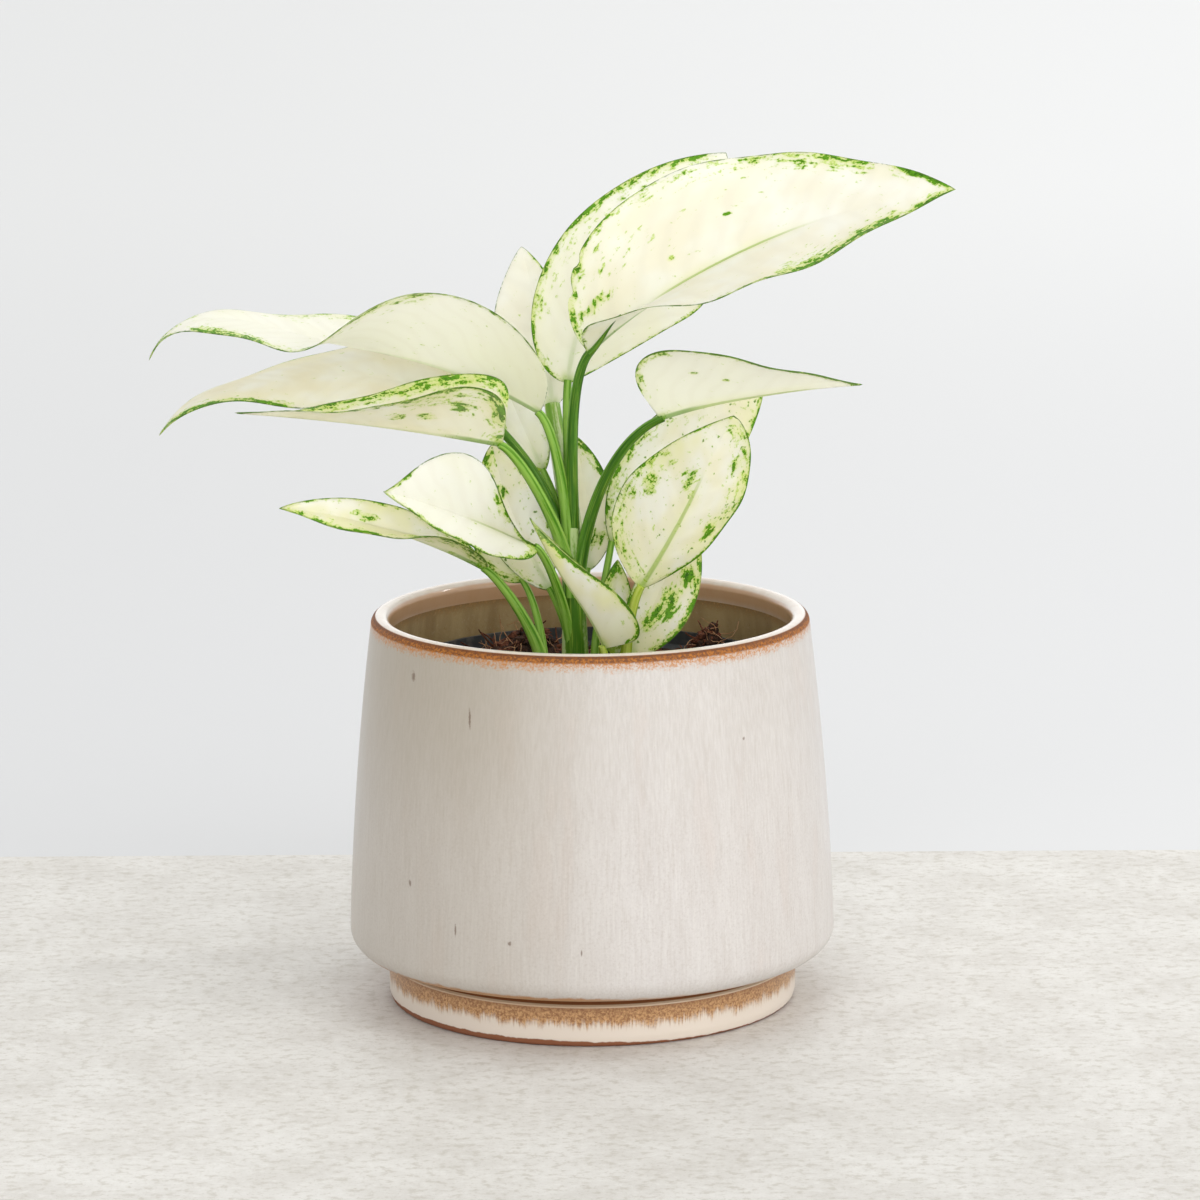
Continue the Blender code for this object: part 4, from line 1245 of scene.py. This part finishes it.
def glaze_finish():
    glaze = Finish("cream_glaze", Coat_Roughness=0.10, Specular_IOR_Level=0.35)
    at = glaze.place()
    x, y, z = glaze.split(at)
    radius = (x * x + y * y) ** 0.5
    streaks = glaze.drawn(0.6, 9, 3, 0.55)
    broad = glaze.drawn(9, 40, 2, 0.5)
    mottle = glaze.grain(at, 0.8, 3, 0.7)
    uneven = glaze.drawn(5, 9, 3, 0.6)
    height = z + (uneven - 0.5) * 4 + (streaks - 0.5) * 3

    lines = glaze.drawn(0.9, 26, 2, 0.5)
    to_the_left = x + y * 0.4
    left_half = to_the_left.step(10, -45)
    glaze.tone = glaze.mix(broad.step(0.3, 0.7) * 0.4 + streaks.step(0.35, 0.7) * 0.35, CREAM, GREIGE)
    glaze.layer(lines.step(0.52, 0.72) * 0.20, STREAKS[0])
    glaze.layer(lines.step(0.46, 0.28) * 0.20, STREAKS[1])
    glaze.layer(mottle.step(0.52, 0.66) * 0.22, MOTTLES[0])
    glaze.layer(mottle.step(0.48, 0.34) * 0.22, MOTTLES[1])
    upper = height.step(*UPPER_PART)
    glaze.layer(upper * (0.22 + streaks.step(0.4, 0.6) * 0.2), UPPER_GREY)
    glaze.layer(upper * mottle.step(0.5, 0.66) * 0.22, UPPER_PALE)
    glaze.layer(broad.step(0.55, 0.7) * 0.08, BLUSH)
    # Painted shade: the pot's left side, away from the light, is painted darker olive, more so higher up.
    left_shade = to_the_left.step(-12, -70)
    glaze.layer(left_shade * (upper * 0.25 + 0.38), LEFT_SHADE_OLIVE)

    speck = glaze.drawn(0.6, 2.2, 1, 0.5).step(0.81, 0.85) * upper
    glaze.layer(speck * 0.8, PINHOLE)

    front = y.step(0, -8)
    for mark_x, mark_z, width, height_of_mark in GLAZE_MARKS:
        away_x = (x - mark_x) / width
        away_z = (z - mark_z) / height_of_mark
        away = (away_x * away_x + away_z * away_z) ** 0.5 + (mottle - 0.5) * 1.5
        glaze.layer(away.step(1.2, 0.4) * front * 0.65, IRON)

    fringe = (z + (mottle - 0.5) * 6 + (uneven - 0.5) * 3).step(*FRINGE)
    glaze.layer(fringe * (0.45 + mottle.step(0.4, 0.6) * 0.5), FRINGE_AMBER)
    outer = radius.step(70.5, 70.9)
    ring = (z + (mottle - 0.5) * 1.4).step(*RING) * outer
    amber = glaze.mix(mottle.step(0.4, 0.65), *AMBER)
    amber = glaze.mix(z.step(*RING_TOP) * 0.6, amber, DARK_AMBER)
    glaze.layer(ring * 0.95, amber)
    lip = radius.step(70.9, 70.5) * z.step(100, 110)
    glaze.layer(lip, glaze.mix(uneven.step(0.4, 0.65) * 0.35, *LIP))
    inner_edge = radius.step(66.9, 66.3) * z.step(100, 110)
    glaze.layer(inner_edge * 0.75, INNER_AMBER)

    hem = (z - left_half * 1.2 + (uneven - 0.5) * 2.4 + (mottle - 0.5) * 1.2).step(*HEM)
    glaze.layer(hem * (0.4 + left_half * 0.6), HEM_AMBER)
    groove = z.step(*GROOVE_TOP) * z.step(*GROOVE_BOTTOM)
    glaze.layer(groove, BROWN)
    edge = z.step(*FOOT_EDGE) * z.step(*FOOT_EDGE_BOTTOM)
    glaze.layer(edge * 0.8, EDGE_CREAM)
    foot_height = z + (streaks - 0.5) * 6 + (uneven - 0.5) * 6
    gold = foot_height.step(*GOLD_BAND)
    grain = glaze.mix(mottle.step(0.34, 0.66), *GOLD)
    grain = glaze.mix(z.step(11.4, 13.2) * 0.5, grain, DARK_GOLD)
    glaze.layer(z.step(*FOOT_FACE), glaze.mix(gold * 0.95, FOOT_CREAM, grain))
    bare = (z - left_half * 1.4 + (uneven - 0.5) * 1.6).step(*BARE_CLAY)
    glaze.layer(bare, BARE_EDGE)
    glaze.colour(glaze.tone)
    glaze.roughness(0.30 + mottle * 0.12 + bare.larger(ring) * 0.3)
    glaze.feed(glaze.shader.inputs["Coat Weight"], (1 - ring.larger(bare)) * 0.25 + lip * 0.5)
    glaze.raise_by(streaks * 0.3 + mottle * 0.3 - speck, 0.0002, 0.3)
    return glaze.material


def inner_glaze_finish():
    glaze = Finish("olive_glaze", Coat_Weight=0.5, Coat_Roughness=0.08, Specular_IOR_Level=0.5)
    at = glaze.place()
    _, _, z = glaze.split(at)
    bands = glaze.drawn(7, 60, 2, 0.5)
    mottle = glaze.grain(at, 1.0, 3, 0.65)
    glaze.tone = glaze.mix(bands.step(0.3, 0.7), paint(154, 128, 90), paint(180, 155, 114))
    under_lip = (z + (mottle - 0.5) * 9 + (bands - 0.5) * 4).step(118.5, 123.5)
    ochre = glaze.mix(mottle.step(0.4, 0.6), paint(116, 78, 36), paint(164, 122, 72))
    glaze.layer(under_lip * 0.9, ochre)
    glaze.layer(mottle.step(0.55, 0.75) * 0.2, paint(214, 200, 178))
    glaze.colour(glaze.tone)
    glaze.roughness(0.24 + mottle * 0.1)
    glaze.raise_by(mottle, 0.0002, 0.3)
    return glaze.material


def bare_clay_finish():
    clay = Finish("bare_clay", Specular_IOR_Level=0.2)
    grit = clay.grain(clay.place(), 0.8, 3, 0.7)
    clay.colour(clay.mix(grit.step(0.35, 0.7), paint(132, 88, 60), paint(170, 122, 88)))
    clay.roughness(0.8 + grit * 0.15)
    clay.raise_by(grit, 0.0003, 0.6)
    return clay.material


pot_mesh = turned_mesh("glazed_pot", pot_profile())
pot = put("glazed_pot", pot_mesh, glaze_finish(), inner_glaze_finish(), bare_clay_finish())
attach(pot, "root")
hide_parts("stoneware_pot")
print("pot of", len(pot_mesh.polygons), "faces")

# %% [markdown]
# ## The nursery pot
# The plant still stands in the thin black plastic pot it was grown in. Only its rim shows, as a dark grey
# edge behind the soil. The solid's shape is right, so it stays and only gets a finish: moulded plastic,
# a little scuffed and dusted with soil, which a faint noise in its colour and shine gives.

# %% Nursery pot finish
def plastic_finish():
    plastic = Finish("dusty_plastic", Specular_IOR_Level=0.5)
    at = plastic.place()
    dust = plastic.grain(at, 3.0, 4, 0.65)
    scuffs = plastic.grain(at, 0.6, 2, 0.6)
    plastic.tone = plastic.mix(dust.step(0.45, 0.75) * 0.6, paint(52, 55, 58), paint(104, 98, 90))
    plastic.colour(plastic.tone)
    plastic.roughness(0.36 + dust * 0.25)
    plastic.raise_by(scuffs, 0.00015, 0.4)
    return plastic.material


nursery_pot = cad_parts["growers_pot"]
nursery_pot.data.materials.clear()
nursery_pot.data.materials.append(plastic_finish())
print("nursery pot finished")

# %% [markdown]
# ## The soil
# The peat is nearly level, with a few mounds, and crumbly everywhere. A displaced grid gives the ground,
# and hundreds of small lumps, twigs and root fibres on it give the crumbs that a bump can't, because they
# stand up against the light. Blender's particles would scatter them, but they don't leave Blender, so each
# crumb is set by a seeded random number.

# %% Soil ground
SOIL_LEVEL = 107.0
MOUNDS = ((-19, 33, 10.0, 9), (-30, 24, 5.0, 9), (41, 38, 9.0, 6), (-4, 4, 3.0, 16), (6, -40, 2.0, 14))
SOIL_EDGE = 57.4
SOIL_EDGE_HEIGHT = 104.7
SOIL_BOTTOM_RADIUS = 42.4
SOIL_BOTTOM = 10.9
SOIL_RINGS = 64
SOIL_SIDES = 150


def soil_height(x, y):
    """Level of the soil at a place, in mm, without its crumbs."""
    height = SOIL_LEVEL
    for mx, my, rise, spread in MOUNDS:
        height += rise * math.exp(-((math.hypot(x - mx, y - my) / spread) ** 2))
    return height


def rough_ground(x, y):
    coarse = noise.noise(Vector((x / 7, y / 7, 3.1)))
    medium = noise.noise(Vector((x / 2.6, y / 2.6, 8.4)))
    fine = noise.noise(Vector((x / 1.1, y / 1.1, 1.7)))
    return soil_height(x, y) - 0.6 + 0.9 * coarse + 0.8 * medium + 0.35 * fine


def soil_mesh():
    points = [(0.0, 0.0, rough_ground(0.0, 0.0))]
    directions = [(math.cos(a), math.sin(a)) for a in np.arange(SOIL_SIDES) * 2 * math.pi / SOIL_SIDES]
    for i in range(1, SOIL_RINGS + 1):
        r = SOIL_EDGE * i / SOIL_RINGS
        for dx, dy in directions:
            height = rough_ground(r * dx, r * dy) if i < SOIL_RINGS else SOIL_EDGE_HEIGHT
            points.append((r * dx, r * dy, height))
    points += [(SOIL_BOTTOM_RADIUS * dx, SOIL_BOTTOM_RADIUS * dy, SOIL_BOTTOM) for dx, dy in directions]
    faces = ring_faces([1] + [SOIL_SIDES] * (SOIL_RINGS + 1))
    faces.append(tuple(range(len(points) - SOIL_SIDES, len(points))))
    return mesh_of("peat", points, faces, outward=True)


def peat_finish(name, dark, mid, light):
    peat = Finish(name, Specular_IOR_Level=0.25)
    at = peat.place()
    lumps = peat.grain(at, 2.4, 4, 0.7)
    grit = peat.grain(at, 0.5, 2, 0.6)
    peat.tone = peat.mix(lumps.step(0.35, 0.65), dark, mid)
    peat.layer(grit.step(0.58, 0.72) * 0.7, light)
    peat.colour(peat.tone)
    peat.roughness(0.82 + grit * 0.15)
    peat.raise_by(grit * 0.5 + lumps * 0.5, 0.0006, 0.8)
    return peat.material


PEAT = peat_finish("dark_peat", paint(30, 19, 14), paint(66, 42, 30), paint(112, 76, 54))
RED_PEAT = peat_finish("red_peat", paint(60, 32, 22), paint(112, 64, 44), paint(160, 108, 80))
GRIT = peat_finish("pale_grit", paint(190, 182, 168), paint(222, 216, 204), paint(236, 232, 224))
FIBRE = peat_finish("root_fibre", paint(168, 118, 84), paint(204, 160, 124), paint(226, 196, 168))

ground_mesh = soil_mesh()
peat_ground = put("peat_ground", ground_mesh, PEAT)
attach(peat_ground, "root")
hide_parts("soil")
print("soil of", len(ground_mesh.polygons), "faces")

# %% [markdown]
# Coarse peat is full of crumbs, broken twigs, pale root fibres and a little white grit, and more of them
# lie on the mounds. Scanned lumps would be finer, but small balls with every corner pushed about and thin
# bent tubes are enough for pieces a millimetre or two wide.

# %% Crumbs, twigs and fibres
CRUMBS = 1100
GRIT_BITS = 46
FIBRES = 90
TWIGS = 26
STRAND_POINTS = 10
SPREAD_RADIUS = 56
CLUMPS = MOUNDS[:3]
CRUMBS_ON_CLUMPS = 0.45
chance = random.Random(11)


def spot(mound_share):
    """A random place on the soil, often on a mound."""
    while True:
        if chance.random() < mound_share:
            mx, my, _, spread = chance.choice(CLUMPS)
            x, y = chance.gauss(mx, spread * 0.6), chance.gauss(my, spread * 0.6)
        else:
            x, y = (chance.uniform(-SPREAD_RADIUS, SPREAD_RADIUS) for _ in range(2))
        if math.hypot(x, y) < SPREAD_RADIUS:
            return x, y


def crumb_into(bm, centre, size, slot):
    made = bmesh.ops.create_icosphere(bm, subdivisions=1, radius=size)
    flat = Vector((chance.uniform(0.7, 1.3), chance.uniform(0.7, 1.3), chance.uniform(0.5, 0.9)))
    for vert in made["verts"]:
        vert.co = vert.co * flat * chance.uniform(0.72, 1.28) + Vector(centre)
    for face in {face for vert in made["verts"] for face in vert.link_faces}:
        face.material_index = slot


def crumbs_mesh():
    bm = bmesh.new()
    for i in range(CRUMBS + GRIT_BITS):
        grit = i >= CRUMBS
        x, y = spot(0.0 if grit else CRUMBS_ON_CLUMPS)
        size = chance.uniform(0.35, 0.8) if grit else chance.uniform(0.5, 1.0) ** 2 * 1.9
        centre = (x, y, soil_height(x, y) - 0.2 + size * 0.3)
        crumb_into(bm, centre, size, 2 if grit else int(chance.random() < 0.4))
    for vert in bm.verts:
        vert.co *= MM
    mesh = bpy.data.meshes.new("soil_crumbs")
    bm.to_mesh(mesh)
    bm.free()
    return mesh


def strand(x, y, length, lift, bends):
    """A bent line of points that leaves the soil at a place."""
    direction = Vector((chance.uniform(-1, 1), chance.uniform(-1, 1), lift)).normalized()
    point = Vector((x, y, soil_height(x, y) - 0.6))
    route = [tuple(point)]
    for _ in range(STRAND_POINTS - 1):
        direction += Vector([chance.uniform(-bends, bends) for _ in range(3)])
        direction.normalize()
        point = point + direction * length / (STRAND_POINTS - 1)
        point.z = max(point.z, soil_height(point.x, point.y) - 0.8)
        route.append(tuple(point))
    return np.array(route)


def strands_mesh():
    parts = empty_parts()
    for _ in range(FIBRES):
        x, y = spot(0.6)
        route = strand(x, y, chance.uniform(4, 13), chance.uniform(0.0, 0.7), 0.45)
        tube_into(parts, route, np.linspace(0.16, 0.08, STRAND_POINTS), 5, 0)
    for _ in range(TWIGS):
        x, y = spot(0.7)
        route = strand(x, y, chance.uniform(4, 11), chance.uniform(0.0, 0.8), 0.22)
        tube_into(parts, route, np.linspace(0.42, 0.22, STRAND_POINTS), 6, 1)
    return parts_mesh("soil_strands", parts)


crumbs = put("soil_crumbs", crumbs_mesh(), PEAT, RED_PEAT, GRIT)
strands = put("soil_strands", strands_mesh(), FIBRE, RED_PEAT)
for piece in (crumbs, strands):
    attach(piece, "root")
print(CRUMBS + GRIT_BITS, "crumbs,", FIBRES + TWIGS, "strands")
